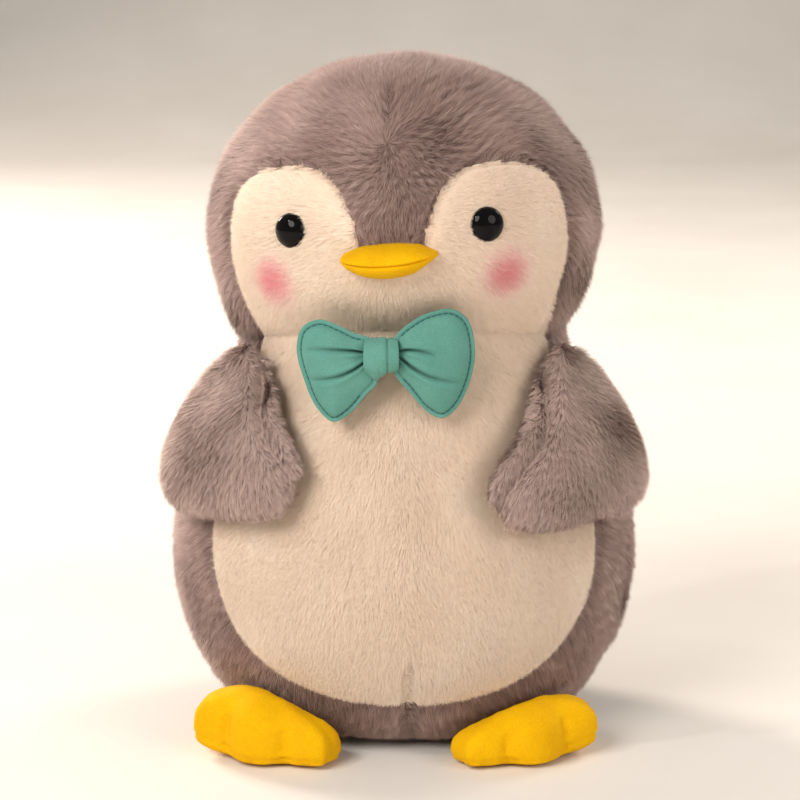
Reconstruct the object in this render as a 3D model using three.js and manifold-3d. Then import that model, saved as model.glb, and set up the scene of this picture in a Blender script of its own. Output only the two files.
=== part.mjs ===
// A sitting plush penguin: pile fabric panels sewn over fibre stuffing, with flippers, feet, a beak,
// safety eyes and a bow tie. Millimetres, +Z up, facing -Y, origin on the floor under the torso.
// Every fabric panel is a shell as thick as its compressed pile; the stuffing fills the shells.

import * as THREE from 'three';
import { mergeVertices } from 'three/addons/utils/BufferGeometryUtils.js';
import Module from 'manifold-3d';

const wasm = await Module();
wasm.setup();

// ---- Driving dimensions ----

const pile = 4; // thickness of the body's pile fabric, pressed flat
const velour = 1.8; // thickness of the smooth yellow fabric
const woven = 0.9; // thickness of the bow's fabric
const gap = 0.3; // clearance between neighbouring pieces
const seam = 0.4; // width of the slot where two panels are sewn together

const torso = { baseX: 48, wideX: 86.5, wideZ: 63, neckX: 60, neckZ: 147, collarZ: 190, depth: 0.88 };
const torsoHandle = { base: 18, above: 30, neckOut: 4, neckDown: 29 }; // curve handles of its side silhouette
const head = { floorZ: 132, wideX: 72.3, wideZ: 185, topZ: 247, depth: 0.9, x: 2.2, yaw: -5.5, roll: -1.7 };
const neck = { z: 112, radius: 69.5, lift: 10.5, clearance: 1.2, capZ: 130 };
const belly = { bottomZ: 20, wideX: 70.5, wideZ: 78, topX: 51, topZ: 160 };
const bellyHandle = { bottom: 0.62, below: 40, above: 32, topOut: 2, topDown: 30 };
const sideSeamY = -20; // the side seams run straight up, this far ahead of the middle
const face = {
  neckX: 47, neckZ: 140, lowZ: 90, wideX: 61, wideZ: 184, lobeX: 35, lobeZ: 214, peakX: 12, peakZ: 181,
};
const faceHandle = {
  peak: 5, inner: 6, innerUp: 21, lobe: 15, wideUp: 25, wideDown: 12, neckOut: 8, neckUp: 18,
};
const crownBackY = 8; // the crown panel ends this far behind the head's middle
const eye = { x: 34.8, z: 191.7, r: 6.2, dome: 4.8, sink: 2.4, shankR: 2, shank: 15 };
const washer = { r: 6.5, thick: 1.6, depth: 1.6 }; // its depth is under the fabric's curved inner face
const beak = { halfX: 17.2, up: 5.2, down: 7.2, out: 11.5, z: 182.6, y: -63 };
const beakForm = { seamDown: 1.2, droop: 1.6, taper: 0.35 };
const flipper = { azimuth: 57, z: 111.8, wrap: 85, rootThick: 12.5, thick: 20.5, flatInside: 0.3, off: 1.2 };
const leftTip = { droop: 5, reach: 0.2 }; // the left flipper's tip hangs lower and reaches further forwards
const tipArc = { from: 10, to: 46 }; // how far ahead of a flipper's middle its tip begins and ends
const rootRise = { from: 5, to: 33 }; // heights over a flipper's middle where it thins to the shoulder
const foot = { leftX: 37, rightX: 43, splay: 22, heelY: -42.5, seamZ: 3, halfWidth: 26, length: 31, height: 25 };
const wedge = { start: 2.2, slope: 20 }; // room kept free over a foot: at its heel, and degrees from there
const toes = { spread: 56, bulge: 0.07 };
const bow = { x: -8, y: -67, z: 148.5, halfX: 31, up: 16.5, down: 23, waistZ: 5.5, thick: 10, roll: -3 };
const bowForm = { wrap: 260, waistPuff: 0.45, waistTo: 0.15, puffFrom: 0.6, flareFrom: 0.2, flareTo: 0.72 };
const knot = { halfX: 6.4, halfZ: 8, thick: 12.5, band: 1.3 };
const tack = { r: 4, backY: -55.5 };

const facets = { torso: 24, head: 24, eye: 14, flipper: 16, foot: 24, bow: 24 }; // round each piece
const degree = Math.PI / 180;
const far = 200; // longer than the whole toy, for cutting blocks

// ---- Materials ----

const greyPile = () => new THREE.MeshStandardMaterial({ color: 0x9a8a86, roughness: 0.95, metalness: 0 });
const creamPile = () => new THREE.MeshStandardMaterial({ color: 0xf2e3d0, roughness: 0.95, metalness: 0 });
const yellow = () => new THREE.MeshStandardMaterial({ color: 0xf2c500, roughness: 0.85, metalness: 0 });
const teal = () => new THREE.MeshStandardMaterial({ color: 0x5fb4a2, roughness: 0.8, metalness: 0 });
const thread = () => new THREE.MeshStandardMaterial({ color: 0x2f8278, roughness: 0.7, metalness: 0 });
const fibre = () => new THREE.MeshStandardMaterial({ color: 0xf4f4f2, roughness: 1, metalness: 0 });
const black = () => new THREE.MeshStandardMaterial({ color: 0x0b0a0a, roughness: 0.08, metalness: 0 });
const nylon = () => new THREE.MeshStandardMaterial({ color: 0xe6e4dc, roughness: 0.5, metalness: 0 });

// ---- Solids: making, bending, cutting ----

// A closed geometry as a solid for booleans, its faces turned outwards if a mirroring turned them in.
function solid(geometry) {
  const bare = geometry.index ? geometry.toNonIndexed() : geometry.clone();
  bare.deleteAttribute('normal');
  bare.deleteAttribute('uv');
  const merged = mergeVertices(bare, 1e-4);
  const corners = merged.getIndex().array;
  const position = merged.getAttribute('position');
  const [first, second, third] = [new THREE.Vector3(), new THREE.Vector3(), new THREE.Vector3()];
  const kept = [];
  let volume = 0;
  for (let i = 0; i < corners.length; i += 3) {
    const [a, b, c] = corners.slice(i, i + 3);
    if (a !== b && b !== c && c !== a) kept.push(a, b, c);
    first.fromBufferAttribute(position, a);
    second.fromBufferAttribute(position, b);
    third.fromBufferAttribute(position, c);
    volume += first.dot(second.cross(third));
  }
  return new wasm.Manifold(new wasm.Mesh({
    numProp: 3,
    vertProperties: new Float32Array(position.array),
    triVerts: new Uint32Array(volume > 0 ? kept : kept.reverse()),
  }));
}

// A solid back as a geometry.
function geometryOf(body) {
  const mesh = body.getMesh();
  const geometry = new THREE.BufferGeometry();
  geometry.setAttribute('position', new THREE.BufferAttribute(mesh.vertProperties, 3));
  geometry.setIndex(new THREE.BufferAttribute(mesh.triVerts, 1));
  geometry.computeVertexNormals();
  return geometry;
}

// Moves every vertex of a geometry to where place(point) puts it.
function reshape(geometry, place) {
  const position = geometry.getAttribute('position');
  const point = new THREE.Vector3();
  for (let i = 0; i < position.count; i += 1) {
    point.fromBufferAttribute(position, i);
    place(point);
    position.setXYZ(i, point.x, point.y, point.z);
  }
  return geometry;
}

function mesh(name, body, material) {
  const made = new THREE.Mesh(body.isBufferGeometry ? body : geometryOf(body), material);
  made.name = name;
  return made;
}

// A block between two corners.
function block(low, high) {
  const size = new THREE.Vector3().subVectors(high, low);
  const middle = new THREE.Vector3().addVectors(low, high).multiplyScalar(0.5);
  return solid(new THREE.BoxGeometry(size.x, size.y, size.z).translate(middle.x, middle.y, middle.z));
}

const ahead = (y) => block(new THREE.Vector3(-far, -far, -far), new THREE.Vector3(far, y, 2 * far));
const behind = (y) => block(new THREE.Vector3(-far, y, -far), new THREE.Vector3(far, far, 2 * far));
const left = () => block(new THREE.Vector3(seam / 2, -far, -far), new THREE.Vector3(far, far, 2 * far));
const right = () => block(new THREE.Vector3(-far, -far, -far), new THREE.Vector3(-seam / 2, far, 2 * far));

// A profile of (radius, height) points moved inwards by a distance, square to its own line.
function inset(points, distance) {
  return points.map((point, i) => {
    const before = points[Math.max(i - 1, 0)];
    const after = points[Math.min(i + 1, points.length - 1)];
    const along = new THREE.Vector2().subVectors(after, before).normalize();
    return new THREE.Vector2(Math.max(point.x - along.y * distance, 0), point.y + along.x * distance);
  });
}

// A profile turned about the Z axis.
function turned(points, sides) {
  return new THREE.LatheGeometry(points, sides).rotateX(Math.PI / 2);
}

// A front outline (x, z) as a block reaching from one y to another.
function frontBlock(shape, fromY, toY) {
  const made = new THREE.ExtrudeGeometry(shape, { depth: toY - fromY, bevelEnabled: false });
  return solid(made.rotateX(Math.PI / 2).translate(0, toY, 0));
}

// The half outlines of the panels are drawn for x > 0 and mirrored; each half is a list of curves.
function mirroredShape(curves) {
  const half = curves.flatMap((curve, i) => curve.getPoints(curve.isLineCurve ? 1 : 5).slice(i === 0 ? 0 : 1));
  const other = half.map((point) => new THREE.Vector2(-point.x, point.y)).reverse();
  const outline = half.concat(other).filter((point, i, all) => point.distanceTo(all.at(i - 1)) > 0.01);
  return new THREE.Shape(outline);
}

const at = (x, y) => new THREE.Vector2(x, y);
const bend = (a, b, c, d) => new THREE.CubicBezierCurve(a, b, c, d);

// ---- Torso ----

// The side silhouette from the flat base up to the neck.
function torsoProfile() {
  const { baseX, wideX, wideZ, neckX, neckZ, collarZ } = torso;
  const { base, above, neckOut, neckDown } = torsoHandle;
  const lower = bend(at(baseX, 0), at(baseX + base, 1), at(wideX, wideZ / 2), at(wideX, wideZ));
  const shoulder = at(neckX + neckOut, neckZ - neckDown);
  const upper = bend(at(wideX, wideZ), at(wideX, wideZ + above), shoulder, at(neckX, neckZ));
  const points = [...lower.getPoints(5), ...upper.getPoints(5).slice(1)];
  return [...points, at(neckX - 0.5, (neckZ + collarZ) / 2), at(neckX - 1, collarZ)];
}

// Flattens front to back, and lifts the neck at front and back so that its seam follows the ball.
function shapeTorso(point) {
  const { z } = point;
  const across = Math.hypot(point.x, point.y) || 1;
  const facing = (point.y / across) ** 2;
  const high = THREE.MathUtils.smoothstep(z, torso.wideZ + 20, torso.neckZ);
  point.y *= torso.depth;
  point.z += neck.lift * facing * high;
}

const torsoLine = torsoProfile();

function torsoSolid(depth) {
  const line = inset(torsoLine, depth);
  const floor = depth === 0 ? 0 : pile + gap;
  const above = line.filter((point) => point.y > floor + 1);
  const foot = line.find((point) => point.y > floor + 1);
  const first = depth === 0 ? at(torso.baseX, 0) : at(Math.min(foot.x, torso.baseX - depth + 4), floor);
  const top = above.at(-1).y + depth;
  above.at(-1).y = top;
  return solid(reshape(turned([at(0, floor), first, ...above, at(0, top)], facets.torso), shapeTorso));
}

// The neck works as a ball: what the torso keeps lies inside it, what the head keeps lies outside.
function neckBall(radius) {
  return solid(new THREE.SphereGeometry(radius, 28, 16).rotateX(Math.PI / 2).translate(0, 0, neck.z));
}

function aboveBall() {
  const low = new THREE.Vector3(-far, -far, neck.capZ);
  return block(low, new THREE.Vector3(far, far, 2 * far)).subtract(neckBall(neck.radius));
}

// The cream belly's outline, grown outwards by a margin.
function bellyShape(margin) {
  const { bottomZ, wideX, wideZ, topX, topZ } = belly;
  const { bottom, below, above, topOut, topDown } = bellyHandle;
  const low = bottomZ - margin;
  const wide = wideX + margin;
  const top = topX + margin;
  return mirroredShape([
    bend(at(0, low), at(wide * bottom, low), at(wide, wideZ - below), at(wide, wideZ)),
    bend(at(wide, wideZ), at(wide, wideZ + above), at(top + topOut, topZ - topDown), at(top, topZ)),
    new THREE.LineCurve(at(top, topZ), at(top - topOut, far)),
    new THREE.LineCurve(at(top - topOut, far), at(0, far)),
  ]);
}

// The flat bottom, an oval plate inside the lower rim of the panels.
function basePanel() {
  const r = torso.baseX - pile - gap;
  const plate = new THREE.CylinderGeometry(r, r, pile, facets.torso).rotateX(Math.PI / 2);
  return plate.scale(1, torso.depth, 1).translate(0, 0, pile / 2);
}

function makeTorso() {
  const cap = aboveBall();
  const baseHole = torso.baseX - pile;
  const opening = new THREE.CylinderGeometry(baseHole, baseHole, 4 * pile, facets.torso).rotateX(Math.PI / 2);
  const skin = torsoSolid(0)
    .subtract(torsoSolid(pile))
    .subtract(solid(opening.scale(1, torso.depth, 1)))
    .subtract(cap);
  const front = skin.intersect(ahead(sideSeamY));
  const back = skin.intersect(behind(sideSeamY + seam));
  const sides = front.subtract(frontBlock(bellyShape(seam), -far, 0));
  return [
    mesh('torso_stuffing', torsoSolid(pile + gap).subtract(cap), fibre()),
    mesh('belly_panel', front.intersect(frontBlock(bellyShape(0), -far, 0)), creamPile()),
    mesh('side_panel_left', sides.intersect(left()), greyPile()),
    mesh('side_panel_right', sides.intersect(right()), greyPile()),
    mesh('back_panel_left', back.intersect(left()), greyPile()),
    mesh('back_panel_right', back.intersect(right()), greyPile()),
    mesh('base_panel', basePanel(), greyPile()),
  ];
}

// ---- Head, in a frame whose origin is the middle of the neck's ball ----

function headProfile() {
  const { floorZ, wideX, wideZ, topZ } = head;
  const round = 0.552; // handle length that makes a quarter ellipse
  const cheek = bend(at(torso.neckX + 0.5, torso.neckZ - 1), at(66, 153), at(wideX, 170), at(wideX, wideZ));
  const rise = topZ - wideZ;
  const crown = bend(at(wideX, wideZ), at(wideX, wideZ + rise * round), at(wideX * round, topZ), at(0, topZ));
  return [at(torso.neckX - 4, floorZ), ...cheek.getPoints(4), ...crown.getPoints(6).slice(1)];
}

const headLine = headProfile();

function shapeHead(point) {
  const across = Math.hypot(point.x, point.y) || 1;
  const facing = (point.y / across) ** 2;
  const low = 1 - THREE.MathUtils.smoothstep(point.z, torso.neckZ - 8, torso.neckZ + 34);
  point.x += head.x * (1 - low);
  point.y *= head.depth;
  point.z += neck.lift * facing * low - neck.z;
}

function headSolid(depth) {
  const line = depth === 0 ? headLine : inset(headLine, depth);
  const floor = line[0].y;
  const closed = [at(0, floor), ...line.slice(0, -1), at(0, line.at(-1).y)];
  return solid(reshape(turned(closed, facets.head), shapeHead));
}

// The cream face: two lobes with the grey peak between them, open towards the neck.
function faceShape(margin) {
  const { neckX, neckZ, lowZ, wideX, wideZ, lobeX, lobeZ, peakX, peakZ } = face;
  const { peak, inner, innerUp, lobe, wideUp, wideDown, neckOut, neckUp } = faceHandle;
  const wide = wideX + margin;
  const top = lobeZ + margin;
  const half = peakX - margin;
  const tip = peakZ + margin;
  const low = neckX + margin;
  const lobeTop = at(lobeX, top);
  return mirroredShape([
    bend(at(0, tip), at(half * 0.6, tip), at(half, tip + 1), at(half, tip + inner)),
    bend(at(half, tip + inner), at(half + peak - 1, peakZ + inner + innerUp), at(lobeX - lobe + 2, top), lobeTop),
    bend(lobeTop, at(lobeX + lobe, top), at(wide, wideZ + wideUp), at(wide, wideZ)),
    bend(at(wide, wideZ), at(wide, wideZ - wideDown), at(low + neckOut, neckZ + neckUp), at(low, neckZ)),
    new THREE.LineCurve(at(low, neckZ), at(low - 4, lowZ)),
    new THREE.LineCurve(at(low - 4, lowZ), at(0, lowZ)),
  ]);
}

// A point on the head's outer surface in front, and the direction straight out of it.
function headFront(x, z) {
  let wide = head.wideX;
  for (let i = 1; i < headLine.length; i += 1) {
    const [a, b] = [headLine[i - 1], headLine[i]];
    if (z >= a.y && z <= b.y) wide = THREE.MathUtils.mapLinear(z, a.y, b.y, a.x, b.x);
  }
  const deep = wide * head.depth;
  const y = -deep * Math.sqrt(1 - (x / wide) ** 2);
  const outwards = new THREE.Vector3(x / wide ** 2, y / deep ** 2, 0).normalize();
  return { place: new THREE.Vector3(x + head.x, y, z - neck.z), outwards };
}

// Stands a geometry made along +Z on the head, so that +Z points straight out of the surface.
function onHead(geometry, spot) {
  const turn = new THREE.Quaternion().setFromUnitVectors(new THREE.Vector3(0, 0, 1), spot.outwards);
  return geometry.applyQuaternion(turn).translate(spot.place.x, spot.place.y, spot.place.z);
}

// A safety eye: a black dome with a flange edge and a shank through the fabric.
function eyePiece(spot) {
  const { r, dome, sink, shankR, shank } = eye;
  const rim = at(r, 0.9 - sink);
  const arc = bend(rim, at(r, dome * 0.6 - sink), at(r * 0.6, dome - sink), at(0, dome - sink));
  const line = [at(0, -sink - shank), at(shankR, -sink - shank), at(shankR, -sink), at(r - 0.5, -sink)];
  return onHead(turned([...line, ...arc.getPoints(4)], facets.eye), spot);
}

function washerPiece(spot) {
  const inner = eye.shankR + gap;
  const top = -pile - washer.depth;
  const low = top - washer.thick;
  const line = [at(inner, low), at(washer.r, low), at(washer.r, top), at(inner, top), at(inner, low)];
  return onHead(turned(line, facets.eye), spot);
}

// The room that an eye and its washer need in the fabric and in the stuffing behind it.
function eyePocket(spot, seatR) {
  const { sink, shankR, shank } = eye;
  const hole = shankR + gap;
  const end = -sink - shank - gap;
  const wash = washer.r + gap;
  const low = -pile - washer.depth - washer.thick - gap;
  const seat = -sink - gap;
  const open = 2 * pile; // past the surface
  const stuffingLine = [at(0, end), at(hole, end), at(hole, low), at(wash, low), at(wash, open), at(0, open)];
  const shaft = [at(0, -open), at(hole, -open), at(hole, seat)];
  const fabricLine = [...shaft, at(seatR, seat), at(seatR, open), at(0, open)];
  return [stuffingLine, fabricLine].map((line) => solid(onHead(turned(line, facets.eye), spot)));
}

// The beak: a pointed pillow, flatter above its seam than below it.
function beakSolid(depth) {
  const ball = new THREE.SphereGeometry(1, 18, 8).rotateX(Math.PI / 2);
  return solid(reshape(ball, (point) => {
    const side = point.x;
    const taper = 1 - beakForm.taper * side * side;
    const up = point.z > 0 ? beak.up : beak.down;
    const droop = beakForm.droop * (1 - side * side) * (1 - Math.abs(point.z));
    point.x = head.x + side * (beak.halfX - depth * 1.6);
    point.y = beak.y + point.y * taper * (beak.out + 3 - depth);
    point.z = beak.z - neck.z + point.z * taper * (up - depth) - droop;
  }));
}

function makeHead() {
  const ball = solid(new THREE.SphereGeometry(neck.radius + neck.clearance, 28, 16).rotateX(Math.PI / 2));
  const outer = headSolid(0);
  const skin = outer.subtract(headSolid(pile)).subtract(ball);
  const dropped = new THREE.Matrix4().makeTranslation(head.x, 0, -neck.z);
  const cut = (shape, toY) => solid(geometryOf(frontBlock(shape, -far, toY)).applyMatrix4(dropped));
  let stuffing = headSolid(pile + gap).subtract(ball);
  let cream = skin.intersect(cut(faceShape(0), 0));
  const crown = skin.intersect(ahead(crownBackY)).subtract(cut(faceShape(seam), 0));
  const back = skin.intersect(behind(crownBackY + seam));
  const eyes = [];
  for (const [side, x] of [['left', eye.x], ['right', -eye.x]]) {
    const spot = headFront(x, eye.z);
    const [stuffingPocket, fabricPocket] = eyePocket(spot, eye.r + gap);
    stuffing = stuffing.subtract(stuffingPocket);
    cream = cream.subtract(fabricPocket);
    eyes.push(mesh(`eye_${side}`, eyePiece(spot), black()));
    eyes.push(mesh(`eye_washer_${side}`, washerPiece(spot), nylon()));
  }
  const swell = 1 + gap / face.wideX;
  const cheeks = solid(geometryOf(outer).scale(swell, swell, 1));
  const seamZ = beak.z - neck.z - beakForm.seamDown;
  const lips = beakSolid(0).subtract(beakSolid(velour)).subtract(cheeks);
  const above = block(new THREE.Vector3(-far, -far, seamZ + seam / 2), new THREE.Vector3(far, far, far));
  const below = block(new THREE.Vector3(-far, -far, -far), new THREE.Vector3(far, far, seamZ - seam / 2));
  const group = new THREE.Group();
  group.position.z = neck.z;
  group.rotation.set(0, head.roll * degree, head.yaw * degree, 'ZYX');
  group.add(
    mesh('head_stuffing', stuffing, fibre()),
    mesh('face_panel', cream, creamPile()),
    mesh('crown_panel', crown, greyPile()),
    mesh('head_back_panel_left', back.intersect(left()), greyPile()),
    mesh('head_back_panel_right', back.intersect(right()), greyPile()),
    ...eyes,
    mesh('beak_upper', lips.intersect(above), yellow()),
    mesh('beak_lower', lips.intersect(below), yellow()),
    mesh('beak_stuffing', beakSolid(velour + gap).subtract(cheeks), fibre()),
  );
  return group;
}

// ---- Sewn pillows: two fabric halves joined round the rim, and the stuffing between them ----

// The thickness axis is Y and the plan is the XZ unit circle. Each share is a part of the radius: what
// the fabric takes, across the plan and through the upper and the lower half, what the slot between
// the halves takes, and the clearance round the stuffing. place() carries a point to its real place.
function pillow(sides, shares, place) {
  const steps = 3;
  const arc = (plan, thick, low) => {
    const start = Math.asin(Math.min(low / thick, 1));
    return Array.from({ length: steps + 1 }, (_, i) => {
      const angle = THREE.MathUtils.lerp(Math.PI / 2, start, i / steps);
      return at(i === 0 ? 0 : plan * Math.cos(angle), thick * Math.sin(angle));
    });
  };
  const mirrored = (line) => line.map((point) => at(point.x, -point.y));
  const slot = shares.slot / 2;
  const shell = (share) => [...arc(1, 1, slot), ...arc(1 - shares.plan, 1 - share, slot).reverse()];
  const core = (share) => arc(1 - shares.plan - shares.clearance / 2, 1 - share - shares.clearance, 0);
  const whole = [...core(shares.upper), ...mirrored(core(shares.lower)).slice(0, -1).reverse()];
  const lines = [shell(shares.upper), mirrored(shell(shares.lower)), whole];
  return lines.map((line) => solid(reshape(new THREE.LatheGeometry(line, sides), place)));
}

// ---- Flippers ----

// The torso's own half width at a height.
function torsoWidth(z) {
  for (let i = 1; i < torsoLine.length; i += 1) {
    const [a, b] = [torsoLine[i - 1], torsoLine[i]];
    if (z <= b.y) return THREE.MathUtils.mapLinear(z, a.y, b.y, a.x, b.x);
  }
  return torso.neckX;
}

// Radius of the torso at a height and azimuth, the azimuth measured from the front.
function torsoRadius(azimuth, z) {
  const facing = Math.cos(azimuth) ** 2;
  const high = THREE.MathUtils.smoothstep(z - neck.lift / 2, torso.wideZ + 20, torso.neckZ);
  const wide = torsoWidth(Math.max(z - neck.lift * facing * high, 0));
  return wide / Math.sqrt(Math.sin(azimuth) ** 2 + (Math.cos(azimuth) / torso.depth) ** 2);
}

// The flipper lies on the torso like a comma: its outline, drawn round its own middle, with arc
// lengths to the back and heights. It starts at the shoulder, and its tip points forwards.
const flipperOutline = new THREE.CatmullRomCurve3([
  new THREE.Vector3(5.5, 33.7, 0), new THREE.Vector3(31, 27.4, 0), new THREE.Vector3(42, -2, 0),
  new THREE.Vector3(28, -23, 0), new THREE.Vector3(-10, -26, 0), new THREE.Vector3(-41, -19, 0),
  new THREE.Vector3(-46, -5, 0), new THREE.Vector3(-26, 13, 0), new THREE.Vector3(-9, 32, 0),
], true);

// A point of the unit pillow goes to its place on one side of the torso.
function placeFlipper(point, side) {
  const spread = Math.hypot(point.x, point.z);
  const turn = (Math.atan2(point.x, point.z) / (2 * Math.PI) + 1) % 1;
  const edge = flipperOutline.getPoint(turn).multiplyScalar(spread);
  const droop = side > 0 ? leftTip.droop * THREE.MathUtils.smoothstep(-edge.x, 0, tipArc.to) : 0;
  if (side > 0) edge.x *= 1 + leftTip.reach * THREE.MathUtils.smoothstep(-edge.x, tipArc.from, tipArc.to);
  const azimuth = flipper.azimuth * degree + edge.x / flipper.wrap;
  const z = flipper.z + edge.y - droop;
  const thin = THREE.MathUtils.smoothstep(edge.y, rootRise.from, rootRise.to);
  const thick = THREE.MathUtils.lerp(flipper.thick, flipper.rootThick, thin);
  const inwards = point.y < 0 ? 1 - flipper.flatInside : 1;
  const lift = flipper.off + (thick / 2) * (1 - flipper.flatInside + point.y * inwards);
  const r = torsoRadius(azimuth, z) + lift;
  point.set(side * Math.sin(azimuth) * r, -Math.cos(azimuth) * r, z);
}

function makeFlipper(name, side) {
  const through = (2 * pile) / flipper.thick;
  const shares = { plan: 2 * through / 3, upper: through, lower: through, slot: 0.03, clearance: 0.08 };
  const place = (point) => placeFlipper(point, side);
  const [outer, inner, stuffing] = pillow(facets.flipper, shares, place);
  return [
    mesh(`${name}_outer_panel`, outer, greyPile()),
    mesh(`${name}_inner_panel`, inner, greyPile()),
    mesh(`${name}_stuffing`, stuffing, fibre()),
  ];
}

// ---- Feet ----

// Height of the torso's underside over a point of the floor.
function undersideZ(x, y) {
  const azimuth = Math.atan2(Math.abs(x), -y);
  const r = Math.hypot(x, y);
  let z = 0;
  while (z < torso.wideZ && torsoRadius(azimuth, z) < r) z += 0.5;
  return z < torso.wideZ ? z : far;
}

// A point of the unit pillow goes to its place in a foot, whose toes are scallops of its front edge.
function placeFoot(point, side) {
  const bearing = Math.atan2(point.x, point.z) / degree;
  const front = 1 - THREE.MathUtils.smoothstep(Math.abs(bearing), 60, 95);
  const scallop = 1 + toes.bulge * front * Math.cos((bearing / toes.spread) * 2 * Math.PI);
  const forward = ((point.z * scallop + 1) / 2) * foot.length;
  const across = point.x * scallop * foot.halfWidth;
  const turn = foot.splay * degree;
  const heelX = side > 0 ? foot.leftX : foot.rightX;
  const x = side * (heelX + Math.sin(turn) * forward + Math.cos(turn) * across);
  const y = foot.heelY - Math.cos(turn) * forward + Math.sin(turn) * across;
  const room = undersideZ(x, y) - wedge.start - Math.max(forward, 0) * Math.tan(wedge.slope * degree);
  const top = Math.max(Math.min(foot.height, room), foot.seamZ + 1.5);
  const full = (top - foot.seamZ) * Math.abs(point.y) ** 0.7;
  const flat = -foot.seamZ * Math.abs(point.y) ** 0.4;
  point.set(x, y, foot.seamZ + (point.y > 0 ? full : flat));
}

function makeFoot(name, side) {
  const shares = { plan: velour / foot.length, upper: 0.12, lower: 0.7, slot: 0.008, clearance: 0.13 };
  const place = (point) => placeFoot(point, side);
  const [upper, sole, stuffing] = pillow(facets.foot, shares, place);
  return [
    mesh(`${name}_upper`, upper, yellow()),
    mesh(`${name}_sole`, sole, yellow()),
    mesh(`${name}_stuffing`, stuffing, fibre()),
  ];
}

// ---- Bow tie ----

// Height of the bow above or below its middle at a distance from the knot: a narrow waist that
// opens into square wings, which hang lower than they rise.
function bowHalfHeight(x, upwards) {
  const out = Math.abs(x) / bow.halfX;
  const wing = upwards ? bow.up : bow.down;
  const flare = THREE.MathUtils.smoothstep(out, bowForm.flareFrom, bowForm.flareTo);
  return THREE.MathUtils.lerp(bow.waistZ, wing, flare);
}

// A point of the unit pillow goes to its place in the bow.
function placeBow(point) {
  const plan = Math.hypot(point.x, point.z) || 1;
  const square = Math.min(plan / Math.max(Math.abs(point.x), Math.abs(point.z), 0.01), 1.18);
  const x = bow.halfX * point.x * square;
  const z = point.z * square * bowHalfHeight(x, point.z > 0);
  const out = Math.abs(x) / bow.halfX;
  const full = THREE.MathUtils.smoothstep(out, bowForm.waistTo, bowForm.puffFrom);
  const puff = THREE.MathUtils.lerp(bowForm.waistPuff, 1, full);
  point.set(x, -(point.y * puff * bow.thick) / 2 + (x * x) / bowForm.wrap, z);
}

function makeBow() {
  const through = (2 * woven) / bow.thick;
  const shares = { plan: woven / bow.up, upper: through, lower: through, slot: 0.06, clearance: 0.28 };
  const [front, back, padding] = pillow(facets.bow, shares, placeBow);
  const ring = new THREE.Shape();
  ring.absellipse(0, 0, knot.halfZ, knot.thick / 2, 0, 2 * Math.PI);
  const hole = new THREE.Path();
  hole.absellipse(0, 0, knot.halfZ - knot.band, knot.thick / 2 - knot.band, 0, 2 * Math.PI);
  ring.holes.push(hole);
  const across = { depth: 2 * knot.halfX, bevelEnabled: false, curveSegments: 10 };
  const band = new THREE.ExtrudeGeometry(ring, across);
  band.translate(0, 0, -knot.halfX).rotateY(Math.PI / 2);
  const reach = tack.backY - bow.y - knot.thick / 2 - gap;
  const stitches = new THREE.CylinderGeometry(tack.r, tack.r, reach, 12);
  const group = new THREE.Group();
  group.position.set(bow.x, bow.y, bow.z);
  group.rotation.y = bow.roll * degree;
  group.add(
    mesh('bow_front', front, teal()),
    mesh('bow_back', back, teal()),
    mesh('bow_padding', padding, fibre()),
    mesh('bow_knot', solid(band), teal()),
    mesh('bow_tack_stitches', solid(stitches.translate(0, tack.backY - bow.y - reach / 2, 0)), thread()),
  );
  return group;
}

const penguin = new THREE.Group();
penguin.add(...makeTorso(), makeHead(), makeBow());
for (const [name, side] of [['left', 1], ['right', -1]]) {
  penguin.add(...makeFlipper(`flipper_${name}`, side), ...makeFoot(`foot_${name}`, side));
}

export default penguin;
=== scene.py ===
import math

import bpy
import numpy as np
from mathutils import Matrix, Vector


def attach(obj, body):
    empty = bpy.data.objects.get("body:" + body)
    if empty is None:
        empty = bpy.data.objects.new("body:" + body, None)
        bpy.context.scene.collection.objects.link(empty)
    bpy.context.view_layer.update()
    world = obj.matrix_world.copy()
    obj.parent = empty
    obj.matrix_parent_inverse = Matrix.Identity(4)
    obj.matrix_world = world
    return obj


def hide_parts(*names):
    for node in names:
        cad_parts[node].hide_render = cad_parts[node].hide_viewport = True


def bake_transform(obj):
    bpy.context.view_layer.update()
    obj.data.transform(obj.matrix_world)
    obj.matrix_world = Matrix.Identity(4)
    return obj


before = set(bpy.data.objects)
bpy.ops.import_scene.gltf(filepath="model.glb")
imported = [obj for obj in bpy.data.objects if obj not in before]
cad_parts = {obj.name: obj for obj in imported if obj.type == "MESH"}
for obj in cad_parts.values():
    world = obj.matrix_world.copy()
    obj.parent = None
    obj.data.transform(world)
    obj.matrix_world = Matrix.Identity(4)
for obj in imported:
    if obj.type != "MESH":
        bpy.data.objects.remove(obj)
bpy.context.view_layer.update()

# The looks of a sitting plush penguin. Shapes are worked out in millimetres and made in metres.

MM = 0.001
MOST_STRANDS = 198000  # in one piece
DENSITY, THICKER = ((1.0, 1.0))

# ---- Dimensions of the sewn body, in millimetres, the same as the frame's ----

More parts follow.
